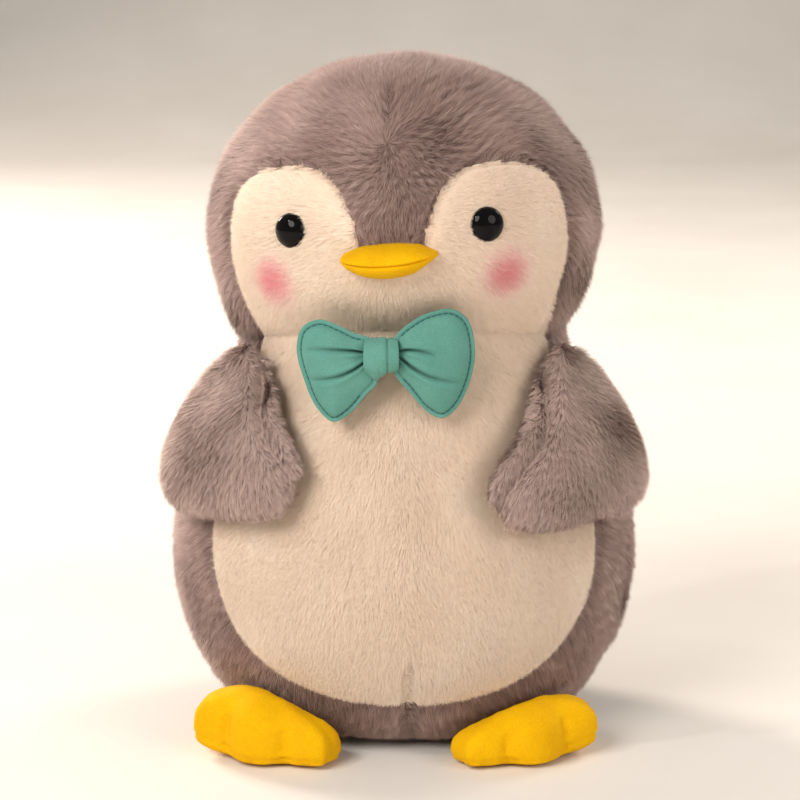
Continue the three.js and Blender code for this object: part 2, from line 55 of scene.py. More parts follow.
TORSO_BASE, TORSO_WIDE, TORSO_WIDE_Z = 48.0, 86.5, 63.0
NECK_X, NECK_Z, TORSO_DEPTH, NECK_LIFT = 60.0, 147.0, 0.88, 10.5
HEAD_WIDE, HEAD_WIDE_Z, HEAD_TOP, HEAD_DEPTH = 72.3, 185.0, 247.0, 0.9
HEAD_X, HEAD_YAW, HEAD_ROLL = 2.2, math.radians(-5.5), math.radians(-1.7)
BALL_Z, BALL_R = 112.0, 69.5
SIDE_SEAM_Y, CROWN_BACK_Y = -20.0, 8.0
EYE_X, EYE_Z, EYE_TILT, EYE_R, EYE_DOME, EYE_SINK = 34.8, 191.5, 0.6, 6.2, 4.8, 2.4
EYE_RIM, EYE_BACK = 0.9, 1.5  # how far before the sunk level the dome starts, and its back behind it
BLUSH_LEFT, BLUSH_RIGHT, BLUSH_R = (39.8, 174.8), (-41.0, 172.8), 9.5
FACE_SHIFT = 1.4  # how far the face panel sits to the left of the head's middle
BEAK_X, BEAK_UP, BEAK_DOWN, BEAK_OUT, BEAK_Z, BEAK_Y, BEAK_SLANT = 17.0, 4.8, 7.4, 14.5, 182.6, -63.0, 0.9
BEAK_SHIFT, BEAK_DROOP, BEAK_CREASE = 0.7, 1.6, 0.9
FLIPPER_AZIMUTH, FLIPPER_Z, FLIPPER_WRAP, FLIPPER_DROOP = math.radians(57), 111.8, 85.0, 5.0
FLIPPER_ROOT, FLIPPER_THICK, FLIPPER_FLAT, FLIPPER_OFF = 12.5, 20.5, 0.3, 1.2
FLIPPER_REACH = 0.2  # how much further forwards the left flipper's tip reaches
FOOT_LEFT_X, FOOT_RIGHT_X, FOOT_SPLAY, FOOT_HEEL_Y = 37.0, 43.0, math.radians(22), -42.5
FOOT_SEAM_Z, FOOT_HALF, FOOT_LONG, FOOT_HIGH, FOOT_HIGH_LEFT = 3.0, 28.4, 31.0, 26.0, 23.0
FOOT_WEDGE = math.tan(math.radians(20))
SEAM_DEPTH = 1.2  # how far under a foot's outer surface its seam and the grooves between its toes are laid
TOE_SPREAD, TOE_BULGE, FOOT_TOE_RISE = 56.0, 0.10, 5.0
TOE_GROOVE, TOE_GROOVE_HALF, RIM_GROOVE, RIM_GROOVE_HALF = 1.6, 1.8, 0.7, 0.8
BOW_AT, BOW_WRAP, BOW_THICK = np.array([-8.0, -67.0, 148.5]), 260.0, 9.8
KNOT_X, KNOT_Z, KNOT_THICK = 6.2, 6.4, 12.0

# How far the cloth behind the pile lies under the outer surface, by pile.
GREY_DEPTH, CREAM_DEPTH = 3.1, 2.3
SEAM_DIP = 1.3  # how much further it is drawn in at a seam
# How far the pile closes over a hidden seam, and over a dart where it is open and where it has faded.
HIDDEN_CLOSED, DART_CLOSED, DART_FADED = 2.2, 0.7, 3

# ---- Numbers ----


def smoothstep(x, low, high):
    t = np.clip((x - low) / (high - low), 0, 1)
    return t * t * (3 - 2 * t)


def unit(v):
    return v / np.maximum(np.linalg.norm(v, axis=-1, keepdims=True), 1e-9)


def bezier(a, b, c, d, count):
    t = np.linspace(0, 1, count)[:, None]
    a, b, c, d = (np.array(p, float) for p in (a, b, c, d))
    return a * (1 - t) ** 3 + 3 * b * t * (1 - t) ** 2 + 3 * c * t * t * (1 - t) + d * t ** 3


class Waves:
    """A smooth random field and its slope, the sum of plane waves of about one length."""

    def __init__(self, length, count=14, seed=1):
        rng = np.random.default_rng(seed)
        ways = unit(rng.normal(size=(count, 3)))
        self.k = ways * (2 * math.pi / length) * rng.uniform(0.75, 1.35, (count, 1))
        self.phase = rng.uniform(0, 2 * math.pi, count)
        self.scale = 1 / math.sqrt(count / 2)
        self.length = length

    def at(self, p):
        return np.sin(p @ self.k.T + self.phase).sum(1) * self.scale

    def slope(self, p):
        return (np.cos(p @ self.k.T + self.phase) @ self.k) * self.scale * self.length / (2 * math.pi)


def linear(rgb):
    """An 0-255 sRGB colour as a linear RGBA one."""
    c = np.array(rgb, float) / 255
    c = np.where(c <= 0.04045, c / 12.92, ((c + 0.055) / 1.055) ** 2.4)
    return (*c, 1.0)


# ---- The torso and the head as surfaces ----

TORSO_LINE = np.vstack([
    bezier((TORSO_BASE, 0), (TORSO_BASE + 18, 1), (TORSO_WIDE, TORSO_WIDE_Z / 2),
           (TORSO_WIDE, TORSO_WIDE_Z), 48),
    bezier((TORSO_WIDE, TORSO_WIDE_Z), (TORSO_WIDE, TORSO_WIDE_Z + 30), (NECK_X + 4, NECK_Z - 29),
           (NECK_X, NECK_Z), 52)[1:],
    [(NECK_X - 0.3, NECK_Z + 12)],
])
ROUND = 0.552
RISE = HEAD_TOP - HEAD_WIDE_Z
HEAD_LINE = np.vstack([
    bezier((NECK_X + 0.5, NECK_Z - 1), (66, 153), (HEAD_WIDE, 170), (HEAD_WIDE, HEAD_WIDE_Z), 30),
    bezier((HEAD_WIDE, HEAD_WIDE_Z), (HEAD_WIDE, HEAD_WIDE_Z + RISE * ROUND), (HEAD_WIDE * ROUND, HEAD_TOP),
           (0, HEAD_TOP), 56)[1:],
])
BELLY_LINE = np.vstack([
    bezier((0, 20), (43.7, 20), (70.5, 38), (70.5, 78), 24),
    bezier((70.5, 78), (70.5, 110), (53, 130), (51, 160), 24)[1:],
])
FACE_INNER = np.vstack([
    bezier((0, 181), (7.2, 181), (12, 182), (12, 187), 10),
    bezier((12, 187), (16, 208), (22, 214), (35, 214), 16)[1:],
])
FACE_OUTER = np.vstack([
    bezier((35, 214), (50, 214), (61, 209), (61, 184), 20),
    bezier((61, 184), (61, 172), (55, 158), (47, 140), 16)[1:],
])


def torso_point(turn, wide, z):
    high = smoothstep(z, TORSO_WIDE_Z + 20, NECK_Z)
    return np.stack([
        wide * np.sin(turn),
        -TORSO_DEPTH * wide * np.cos(turn),
        z + NECK_LIFT * np.cos(turn) ** 2 * high,
    ], -1)


def head_own(turn, wide, z):
    """A point of the head before the head is turned, its height still from the floor."""
    low = 1 - smoothstep(z, NECK_Z - 8, NECK_Z + 34)
    return np.stack([
        wide * np.sin(turn) + HEAD_X * (1 - low),
        -HEAD_DEPTH * wide * np.cos(turn),
        z + NECK_LIFT * np.cos(turn) ** 2 * low,
    ], -1)


def head_turning():
    """The turn of the head about the vertical and its lean to the side, in one matrix."""
    cy, sy, cr, sr = math.cos(HEAD_YAW), math.sin(HEAD_YAW), math.cos(HEAD_ROLL), math.sin(HEAD_ROLL)
    about_z = np.array([[cy, -sy, 0], [sy, cy, 0], [0, 0, 1]])
    about_y = np.array([[cr, 0, sr], [0, 1, 0], [-sr, 0, cr]])
    return about_z @ about_y


HEAD_TURN = head_turning()
BALL_MIDDLE = np.array([0, 0, BALL_Z])


def turn_head(p, directions=False):
    """Carries points, or directions, of the unturned head to where they are on the toy."""
    middle = np.zeros(3) if directions else BALL_MIDDLE
    return (p - middle) @ HEAD_TURN.T + middle


def unturned(p):
    """Where a point of the turned head is on the unturned one."""
    return (p - BALL_MIDDLE) @ HEAD_TURN + BALL_MIDDLE


def head_front(x, z):
    """The place on the head's front at x from its own middle."""
    wide = np.interp(z, HEAD_LINE[:, 1], HEAD_LINE[:, 0])
    y = -HEAD_DEPTH * wide * np.sqrt(np.clip(1 - (x / wide) ** 2, 0, 1))
    return turn_head(np.stack([x + HEAD_X, y, z], -1))


def head_out(x, z):
    """The way straight out of the head's front at that place."""
    wide = np.interp(z, HEAD_LINE[:, 1], HEAD_LINE[:, 0])
    deep = wide * HEAD_DEPTH
    y = -deep * math.sqrt(1 - (x / wide) ** 2)
    return turn_head(unit(np.array([x / wide ** 2, y / deep ** 2, 0.0])), directions=True)


def half_width(line, z):
    """How wide an outline is at a height; its heights only rise or only fall."""
    order = np.argsort(line[:, 1], kind="stable")
    return np.interp(z, line[order, 1], line[order, 0], left=-1, right=-1)


def in_belly(p):
    wide = half_width(BELLY_LINE, np.clip(p[:, 2], 0, 160))
    return (p[:, 1] < SIDE_SEAM_Y) & (np.abs(p[:, 0]) < wide)


def in_face(own):
    x, z = np.abs(own[:, 0] - HEAD_X - FACE_SHIFT), own[:, 2]
    outer = half_width(FACE_OUTER, np.clip(z, 140, 214))
    inner = np.where(z > FACE_INNER[0, 1], half_width(FACE_INNER, np.clip(z, 181, 214)), -1)
    return (own[:, 1] < 0) & (x < outer) & (x > inner) & (z < FACE_INNER[-1, 1])


class Surface:
    """A triangle mesh that fur can be planted on: points, triangles, smooth normals."""

    def __init__(self, points, faces):
        self.points = np.asarray(points, float)
        self.faces = faces
        tris = []
        for f in faces:
            tris.extend([(f[0], f[k], f[k + 1]) for k in range(1, len(f) - 1)])
        self.tris = np.array(tris)
        a, b, c = (self.points[self.tris[:, k]] for k in range(3))
        cross = np.cross(b - a, c - a)
        self.areas = np.linalg.norm(cross, axis=1) / 2
        normals = np.zeros_like(self.points)
        for k in range(3):
            np.add.at(normals, self.tris[:, k], cross)
        self.normals = unit(normals)

    def scatter(self, per_mm2, rng, keep=None):
        """Random places spread evenly: the triangle of each, and its weights for the three corners."""
        areas = self.areas if keep is None else self.areas * keep[self.tris].max(1)
        total = int(areas.sum() * per_mm2)
        pick = np.searchsorted(np.cumsum(areas), rng.uniform(0, areas.sum(), total))
        pick = np.minimum(pick, len(self.tris) - 1)
        r1, r2 = np.sqrt(rng.uniform(size=total)), rng.uniform(size=total)
        weights = np.stack([1 - r1, r1 * (1 - r2), r1 * r2], 1)
        return pick, weights

    def mix(self, values, pick, weights):
        corners = values[self.tris[pick]]
        if corners.ndim == 2:
            return (corners * weights).sum(1)
        return (corners * weights[:, :, None]).sum(1)


def grid_faces(rows, columns, flip=False):
    """Quads of a grid whose columns close on themselves; rows run from low to high."""
    faces = []
    for r in range(rows - 1):
        for c in range(columns):
            d = (c + 1) % columns
            quad = (r * columns + c, r * columns + d, (r + 1) * columns + d, (r + 1) * columns + c)
            faces.append(quad[::-1] if flip else quad)
    return faces


def lathe_surface(line, columns, place):
    turn = np.linspace(-math.pi, math.pi, columns, endpoint=False)
    t = np.tile(turn, len(line))
    wide, z = np.repeat(line[:, 0], columns), np.repeat(line[:, 1], columns)
    return place(t, wide, z), grid_faces(len(line), columns)


def even(line, step):
    """The line with points a step apart."""
    along = np.concatenate([[0], np.cumsum(np.linalg.norm(np.diff(line, axis=0), axis=1))])
    count = max(int(along[-1] / step), 4)
    where = np.linspace(0, along[-1], count)
    return np.stack([np.interp(where, along, line[:, k]) for k in range(line.shape[1])], 1)


GRID = 1.7
torso_line = even(np.vstack([[(0.5, 0)], TORSO_LINE]), GRID)
TORSO = Surface(*lathe_surface(torso_line, 280, torso_point))
head_points, head_faces = lathe_surface(even(HEAD_LINE, GRID), 264, head_own)
HEAD_OWN = head_points
HEAD = Surface(turn_head(head_points), head_faces)

# ---- Seams, as chains of points on the surfaces ----


def torso_front(x, z):
    wide = np.interp(z, TORSO_LINE[:, 1], TORSO_LINE[:, 0])
    ratio = np.clip(x / wide, -1, 1)
    for _ in range(3):
        facing = 1 - ratio ** 2
        base = z - NECK_LIFT * facing * smoothstep(z, TORSO_WIDE_Z + 20, NECK_Z)
        wide = np.interp(base, TORSO_LINE[:, 1], TORSO_LINE[:, 0])
        ratio = np.clip(x / wide, -1, 1)
    return np.stack([x, -TORSO_DEPTH * wide * np.sqrt(1 - ratio ** 2), z], -1)


def cut_sides(line, depth, y, z):
    """Where the plane at y meets the two sides of a round body of that outline and depth, at heights z."""
    wide = np.interp(z, line[:, 1], line[:, 0])
    x = wide * np.sqrt(np.clip(1 - (y / (depth * wide)) ** 2, 0, 1))
    return [np.stack([side * x, np.full_like(x, y), z], -1) for side in (-1, 1)]


def back_line(line, place, low, high):
    keep = line[(line[:, 1] > low) & (line[:, 1] < high)]
    return place(np.full(len(keep), math.pi), keep[:, 0], keep[:, 1])


def front_dart(place, x, low, high):
    z = np.linspace(low, high, 30)
    return place(np.full_like(z, x), z)


BELLY_DART = (1.5, 20.0, 47.0)
FOREHEAD_DART = (-0.5, 222.0, 243.0)
SEAM_STEP = 1.5
belly_line = even(BELLY_LINE, SEAM_STEP)
torso_seams = [torso_front(s * belly_line[:, 0], belly_line[:, 1]) for s in (-1, 1)]
torso_hidden = cut_sides(TORSO_LINE, TORSO_DEPTH, SIDE_SEAM_Y, np.linspace(2, NECK_Z + 4, 90))
torso_hidden.append(back_line(TORSO_LINE, torso_point, 2, NECK_Z))
torso_seams.append(front_dart(torso_front, BELLY_DART[0], 6, BELLY_DART[1]))
belly_dart = front_dart(torso_front, *BELLY_DART)
face_lines = [even(FACE_INNER, SEAM_STEP), even(FACE_OUTER, SEAM_STEP)]
head_seams = [head_front(s * line[:, 0] + FACE_SHIFT, line[:, 1]) for s in (-1, 1) for line in face_lines]
crown_cut = cut_sides(HEAD_LINE, HEAD_DEPTH, CROWN_BACK_Y, np.linspace(NECK_Z, HEAD_TOP - 0.5, 80))
head_hidden = [turn_head(chain + np.array([HEAD_X, 0, 0])) for chain in crown_cut]
head_hidden.append(turn_head(back_line(HEAD_LINE, head_own, NECK_Z, 244)))
forehead_dart = front_dart(head_front, *FOREHEAD_DART)


def nearest(points, chain_points, chunk=4000):
    """Distance to the nearest of the chain points, and the unit vector away from it."""
    far = np.empty(len(points))
    away = np.empty((len(points), 3))
    for i in range(0, len(points), chunk):
        part = points[i:i + chunk]
        d2 = ((part[:, None, :] - chain_points[None, :, :]) ** 2).sum(2)
        best = d2.argmin(1)
        far[i:i + chunk] = np.sqrt(d2[np.arange(len(part)), best])
        away[i:i + chunk] = unit(part - chain_points[best])
    return far, away


def tangent(v, n):
    return v - n * (v * n).sum(-1, keepdims=True)


# ---- Meshes and materials ----


def linked(name, data):
    """An object of that data, in the scene."""
    obj = bpy.data.objects.new(name, data)
    bpy.context.scene.collection.objects.link(obj)
    return obj


def new_object(name, points, faces):
    """A smooth-shaded mesh object from points in millimetres."""
    made = bpy.data.meshes.new(name)
    made.from_pydata((np.asarray(points) * MM).tolist(), [], [list(map(int, f)) for f in faces])
    made.update()
    made.polygons.foreach_set("use_smooth", np.ones(len(made.polygons), bool))
    return linked(name, made)


def capped_rings(rings, columns):
    """Faces of a pole, rings of points and a second pole, in that order."""
    faces = [(0, 1 + (c + 1) % columns, 1 + c) for c in range(columns)]
    faces += [tuple(1 + k for k in face) for face in grid_faces(rings, columns)]
    last = 1 + (rings - 1) * columns
    return faces + [(last + c, last + (c + 1) % columns, last + columns) for c in range(columns)]


def node_material(name, roughness, sheen=0.0, sheen_tint=None, coat=0.0):
    made = bpy.data.materials.new(name)
    made.use_nodes = True
    shader = made.node_tree.nodes["Principled BSDF"]
    shader.inputs["Roughness"].default_value = roughness
    shader.inputs["Sheen Weight"].default_value = sheen
    shader.inputs["Coat Weight"].default_value = coat
    if sheen_tint is not None:
        shader.inputs["Sheen Tint"].default_value = sheen_tint
    return made, made.node_tree, shader


def node(tree, kind, **values):
    made = tree.nodes.new(kind)
    for key, value in values.items():
        if hasattr(made, key):
            setattr(made, key, value)
        else:
            made.inputs[key].default_value = value
    return made


def ramp(tree, factor, stops):
    made = tree.nodes.new("ShaderNodeValToRGB")
    elements = made.color_ramp.elements
    while len(elements) < len(stops):
        elements.new(0.5)
    for element, (place, colour) in zip(elements, stops):
        element.position = place
        element.color = colour
    tree.links.new(factor, made.inputs["Fac"])
    return made.outputs["Color"]


def mixed(tree, factor, a, b, mode="MIX"):
    made = tree.nodes.new("ShaderNodeMix")
    made.data_type = "RGBA"
    made.blend_type = mode
    for socket, value in ((made.inputs[0], factor), (made.inputs[6], a), (made.inputs[7], b)):
        if isinstance(value, bpy.types.NodeSocket):
            tree.links.new(value, socket)
        else:
            socket.default_value = value
    return made.outputs[2]


def two_tone(tree, factor, dark, light, low, high):
    """The dark colour below low, the light one above high."""
    return ramp(tree, factor, [(low, linear(dark)), (high, linear(light))])


def noises(tree, place, *settings):
    """Noise textures, one for each scale and detail."""
    made = []
    for scale, detail in settings:
        noise = node(tree, "ShaderNodeTexNoise", **{"Scale": scale, "Detail": detail})
        tree.links.new(place.outputs["Object"], noise.inputs["Vector"])
        made.append(noise.outputs["Fac"])
    return made


def relieved(tree, shader, height, strength, distance):
    """Makes the height a fine bump of the shader's surface."""
    relief = node(tree, "ShaderNodeBump", **{"Strength": strength, "Distance": distance})
    tree.links.new(height, relief.inputs["Height"])
    tree.links.new(relief.outputs["Normal"], shader.inputs["Normal"])


# Pile tones lie along the U of the strand's own layer, and V runs from its root to its tip; the root's colour
# is the tip's darkened by a share, painted shade deep in the pile.
GREY_TONES = ((0.0, (128, 101, 94)), (0.5, (170, 140, 131)), (1.0, (230, 203, 191)))
CREAM_TONES = ((0.0, (240, 216, 192)), (0.45, (252, 232, 210)), (0.62, (255, 242, 226)),
               (0.66, (252, 228, 212)), (1.0, (238, 146, 150)))


def pile_material(name, tones, shaded_root_share):
    made, tree, shader = node_material(name, 0.75, sheen=0.15)
    layer = node(tree, "ShaderNodeUVMap", uv_map="OFBake")
    split = node(tree, "ShaderNodeSeparateXYZ")
    tree.links.new(layer.outputs["UV"], split.inputs[0])
    tip = ramp(tree, split.outputs["X"], [(p, linear(c)) for p, c in tones])
    # Painted shade: the roots take the tones darkened by the share.
    root = ramp(tree, split.outputs["X"], [(p, linear(np.array(c) * shaded_root_share)) for p, c in tones])
    tree.links.new(mixed(tree, split.outputs["Y"], root, tip), shader.inputs["Base Color"])
    return made


def cloth_material(name, base, dark, scale, roughness=0.9, sheen=0.2, bump=0.2, tint=(255, 255, 255)):
    """A short napped cloth: mottled colour, fine bump."""
    made, tree, shader = node_material(name, roughness, sheen=sheen, sheen_tint=linear(tint))
    place = node(tree, "ShaderNodeTexCoord")
    broad, fine = noises(tree, place, (scale * 0.05, 4.0), (scale, 3.0))
    colour = two_tone(tree, mixed(tree, 0.5, broad, fine), dark, base, 0.35, 0.65)
    tree.links.new(colour, shader.inputs["Base Color"])
    relieved(tree, shader, fine, bump, 0.0006)
    return made


# The grey strands' roots are darkened to 0.84 of their tips, painted shade; the cream strands' roots are not
# darkened.
GREY_PILE = pile_material("grey_pile_strands", GREY_TONES, 0.84)
CREAM_PILE = pile_material("cream_pile_strands", CREAM_TONES, 1.0)
# The grey backing is darker than the grey pile: painted shade in the gaps between the strands.
GREY_SHADED_BACKING = cloth_material("grey_pile_backing", (140, 114, 106), (118, 94, 88), 900)
CREAM_CLOTH = cloth_material("cream_pile_backing", (252, 230, 206), (244, 220, 196), 900)

# ---- Pile ----


def settle(depth, other, far):
    """The depth of the cloth near a seam, where both piles' cloths meet at their mean depth."""
    mean = (GREY_DEPTH + CREAM_DEPTH) / 2
    own = mean + (depth - mean) * smoothstep(far, 0, 5) if other else depth
    return own + SEAM_DIP * (1 - smoothstep(far, 0.4, 4.0))


class Pile:
    """Strands planted on a surface and combed. Each strand is one narrow triangle."""

    def __init__(self, surface, per_mm2, length, width, lean, seed, flow, away, far, depth, tone, tuft,
                 ruffle, tuft_length=5.0, keep=None, choose=None, length_of=None, lean_of=None, meets=True):
        rng = np.random.default_rng(seed)
        pick, weights = surface.scatter(per_mm2 * DENSITY, rng, keep)
        p = surface.mix(surface.points, pick, weights)
        if choose is not None:
            ok = choose(p)
            pick, weights, p = pick[ok], weights[ok], p[ok]
        n = unit(surface.mix(surface.normals, pick, weights))
        count = len(p)
        f = unit(tangent(surface.mix(flow, pick, weights), n))
        turn = 0.5 * ruffle * Waves(34, seed=seed + 5).at(p)
        f = f * np.cos(turn)[:, None] + np.cross(n, f) * np.sin(turn)[:, None]
        sway = np.clip(Waves(26, seed=seed + 9).at(p), -1, 2)
        lay = math.radians(lean) + ruffle * (0.2 * sway + rng.normal(0, 0.13, count))
        if lean_of is not None:
            lay = lay * lean_of(p)
        seam_far = surface.mix(far, pick, weights)
        near = 1 - smoothstep(seam_far, 0.5, 4.5)
        out = unit(tangent(surface.mix(away, pick, weights), n))
        f = unit(f * (1 - 0.7 * near[:, None]) + out * (0.65 * near[:, None]))
        full = length * (1 + rng.normal(0, 0.12, count)) * (1 - 0.28 * near)
        if length_of is not None:
            full = full * length_of(p)
        field = Waves(tuft_length, seed=seed + 2)
        bunch = field.at(p)
        full = full * (1 + 0.10 * bunch * min(tuft, 1))
        root = p - n * (settle(depth, meets, seam_far) - 0.3)[:, None]
        stray = rng.normal(0, 0.16 * ruffle, (count, 3))
        along = unit(n * np.cos(lay)[:, None] + f * np.sin(lay)[:, None] + stray)
        tip = root + along * full[:, None] + tangent(field.slope(p), n) * tuft
        across = unit(np.cross(along, n) + rng.normal(0, 0.3, (count, 3))) * (width * THICKER) / 2
        across = across * np.sign((np.cross(across, along) * n).sum(1))[:, None]
        self.points = np.stack([root - across, root + across, tip], 1)
        lit = np.cross(unit(across), along)
        shade = unit(n * 0.9 + lit * 0.35 * ruffle + rng.normal(0, 0.16 * ruffle, (count, 3)) + along * 0.15)
        self.normals = np.repeat(shade[:, None, :], 3, 1)
        base = 0.5 + (0.10 * bunch + rng.normal(0, 0.15, count)) * ruffle
        self.tone = np.clip(tone(p, base, rng), 0.01, 0.99)
        self.roots = p

    def part(self, name, mask, material):
        """The strands that the mask names, as one object."""
        chosen = np.flatnonzero(mask)[:MOST_STRANDS]
        count = len(chosen)
        points = self.points[chosen].reshape(-1, 3)
        normals = self.normals[chosen].reshape(-1, 3)
        made = bpy.data.meshes.new(name)
        made.vertices.add(count * 3)
        made.vertices.foreach_set("co", (points * MM).astype(np.float32).ravel())
        made.loops.add(count * 3)
        made.loops.foreach_set("vertex_index", np.arange(count * 3, dtype=np.int32))
        made.polygons.add(count)
        made.polygons.foreach_set("loop_start", (np.arange(count) * 3).astype(np.int32))
        made.polygons.foreach_set("use_smooth", np.ones(count, bool))
        layer = made.uv_layers.new(name="OFBake")
        tone = self.tone[chosen]
        u = np.stack([tone - 0.004, tone + 0.004, tone], 1)
        v = np.broadcast_to(np.array([0.02, 0.02, 0.98]), (count, 3))
        layer.data.foreach_set("uv", np.stack([u, v], 2).astype(np.float32).ravel())
        made.update(calc_edges=True)
        made.validate()
        made.normals_split_custom_set_from_vertices(normals.tolist())
        made.materials.append(material)
        return linked(name, made)


# ---- Torso and head: the sewn cloth, and its pile ----

DOWN = np.array([0, 0, -1.0])


def seam_field(surface, seams, hidden, dart, fade):
    """Distance and way from the nearest seam. The pile nearly closes over the hidden seams, and the
    dart is gone where fade(share of its height) is 1."""
    share = (surface.points[:, 2] - dart[0, 2]) / (dart[-1, 2] - dart[0, 2])
    far, away = nearest(surface.points, np.vstack(seams))
    dart_closed = DART_CLOSED + DART_FADED * fade(share)
    for chain, extra in ((np.vstack(hidden), HIDDEN_CLOSED), (dart, dart_closed)):
        other_far, other_away = nearest(surface.points, chain)
        nearer = other_far + extra < far
        far = np.where(nearer, other_far + extra, far)
        away = np.where(nearer[:, None], other_away, away)
    return far, away


torso_far, torso_away = seam_field(TORSO, torso_seams, torso_hidden, belly_dart,
                                   lambda t: smoothstep(t, 0.5, 1))
head_far, head_away = seam_field(HEAD, head_seams, head_hidden, forehead_dart,
                                 lambda t: 1 - smoothstep(t, 0, 0.25) + smoothstep(t, 0.75, 1))


def skin(name, surface, far, materials, which):
    depth = settle(np.where(which(surface.points), CREAM_DEPTH, GREY_DEPTH), True, far)
    obj = new_object(name, surface.points - surface.normals * depth[:, None], surface.faces)
    for m in materials:
        obj.data.materials.append(m)
    middles = np.array([surface.points[list(f)].mean(0) for f in surface.faces])
    obj.data.polygons.foreach_set("material_index", which(middles).astype(np.int32))
    obj.data.update()
    return obj


torso_skin = skin("torso_backing", TORSO, torso_far, [GREY_SHADED_BACKING, CREAM_CLOTH], in_belly)
head_skin = skin("head_backing", HEAD, head_far, [GREY_SHADED_BACKING, CREAM_CLOTH], lambda p: in_face(unturned(p)))

EYES = {}
for side_name, sign in (("left", 1), ("right", -1)):
    spot = (sign * EYE_X, EYE_Z + sign * EYE_TILT)
    EYES[side_name] = (head_front(*spot), head_out(*spot))
BLUSHES = [head_front(*spot) for spot in (BLUSH_LEFT, BLUSH_RIGHT)]
beak_front = turn_head(np.array([HEAD_X, BEAK_Y, BEAK_Z]))


def outside_ball(p, margin):
    return np.linalg.norm(p - BALL_MIDDLE, axis=1) > BALL_R + margin


def torso_keep(p):
    buried = (p[:, 2] > BALL_Z + 18) & outside_ball(p, 1.5)
    return ~buried & (p[:, 2] >= 0.6)


# Flow of the pile: down and a little back on the body; away from the forehead's dart on the head.
sideways = np.sign(TORSO.points[:, :1]) * np.array([0.2, 0, 0])
torso_flow = tangent(np.array([0, 0.25, -1.0]) + sideways, TORSO.normals)
dart_low = forehead_dart[0]
from_dart = HEAD.points - dart_low
dart_far = np.linalg.norm(from_dart, axis=1)
spread = unit(from_dart) * (0.35 + 1.2 * np.exp(-dart_far / 50))[:, None]
head_flow = tangent(spread + DOWN * (0.25 + 0.5 * smoothstep(dart_far, 20, 90))[:, None], HEAD.normals)
from_beak = HEAD.points - beak_front
own_head = in_face(HEAD_OWN)
head_flow = np.where(own_head[:, None], tangent(unit(from_beak) + DOWN * 0.45, HEAD.normals), head_flow)


def tapering(p):
    """The pile under the body, pressed by its weight, is shorter."""
    return 0.45 + 0.55 * smoothstep(p[:, 2], 0, 9)


def grey_tone(p, base, rng):
    return base + 0.06 * Waves(30, seed=71).at(p)


# The flippers' pile is a lighter grey than the body's: painted light against the shade that falls on them.
def flipper_lit_tone(p, base, rng):
    return base + 0.34 + 0.03 * Waves(14, seed=73).at(p)


def cream_tone(p, base, rng):
    pale = 0.36 + (base - 0.5) * 0.9 + 0.05 * Waves(28, seed=72).at(p)
    return np.clip(pale, 0.01, 0.6)


def face_tone(p, base, rng):
    pale = cream_tone(p, base, rng)
    for spot in BLUSHES:
        d = np.linalg.norm(p - spot, axis=1)
        pink = np.exp(-(d / BLUSH_R) ** 2) * 1.02 + rng.normal(0, 0.13, len(p))
        pale = np.where(pink > 0.30, 0.66 + 0.33 * np.clip((pink - 0.30) / 0.7, 0, 1), pale)
    return pale


def eye_clear(p):
    ok = np.ones(len(p), bool)
    for spot, _ in EYES.values():
        ok &= np.linalg.norm(p - spot, axis=1) > EYE_R - 0.9
    return ok


def beak_clear(p):
    own = unturned(p)
    x = (own[:, 0] - HEAD_X) / (BEAK_X - 2)
    z = (own[:, 2] - BEAK_Z + 1) / (BEAK_UP - 1)
    return ~((own[:, 1] < 0) & (x * x + z * z < 1))


def head_keep(p):
    return outside_ball(p, -1.0) & eye_clear(p) & beak_clear(p)


def upright(p):
    """To the left of the forehead's dart the pile stands up, so its dark depth shows."""
    d = np.linalg.norm(p - UPRIGHT_SPOT, axis=1)
    return 1 - 0.5 * np.exp(-(d / 20) ** 2)


UPRIGHT_SPOT = head_front(np.array([18.0]), np.array([233.0]))[0]
on_front = TORSO.points[:, 1] < 0
torso_grey = Pile(TORSO, 8.4, 4.6, 0.24, 52, 101, torso_flow, torso_away, torso_far, GREY_DEPTH, grey_tone,
                  tuft=0.42, ruffle=0.62, length_of=tapering, choose=lambda p: torso_keep(p) & ~in_belly(p))
torso_pale = Pile(TORSO, 15.0, 3.5, 0.22, 54, 102, torso_flow, torso_away, torso_far, CREAM_DEPTH, cream_tone,
                  tuft=0.06, ruffle=0.22, length_of=tapering, choose=lambda p: torso_keep(p) & in_belly(p),
                  keep=(in_belly(TORSO.points) | on_front).astype(float))
head_grey = Pile(HEAD, 9.0, 4.7, 0.23, 52, 103, head_flow, head_away, head_far, GREY_DEPTH, grey_tone,
                 tuft=0.45, ruffle=0.7, tuft_length=3.2, lean_of=upright,
                 choose=lambda p: head_keep(p) & ~in_face(unturned(p)))
head_pale = Pile(HEAD, 15.0, 3.4, 0.22, 54, 104, head_flow, head_away, head_far, CREAM_DEPTH, face_tone,
                 tuft=0.15, ruffle=0.3, keep=(HEAD.points[:, 1] < 10).astype(float),
                 choose=lambda p: head_keep(p) & in_face(unturned(p)))


def halves(x, middle):
    """The masks of the strands on the left and on the right of a middle."""
    return ("left", x > middle), ("right", x <= middle)


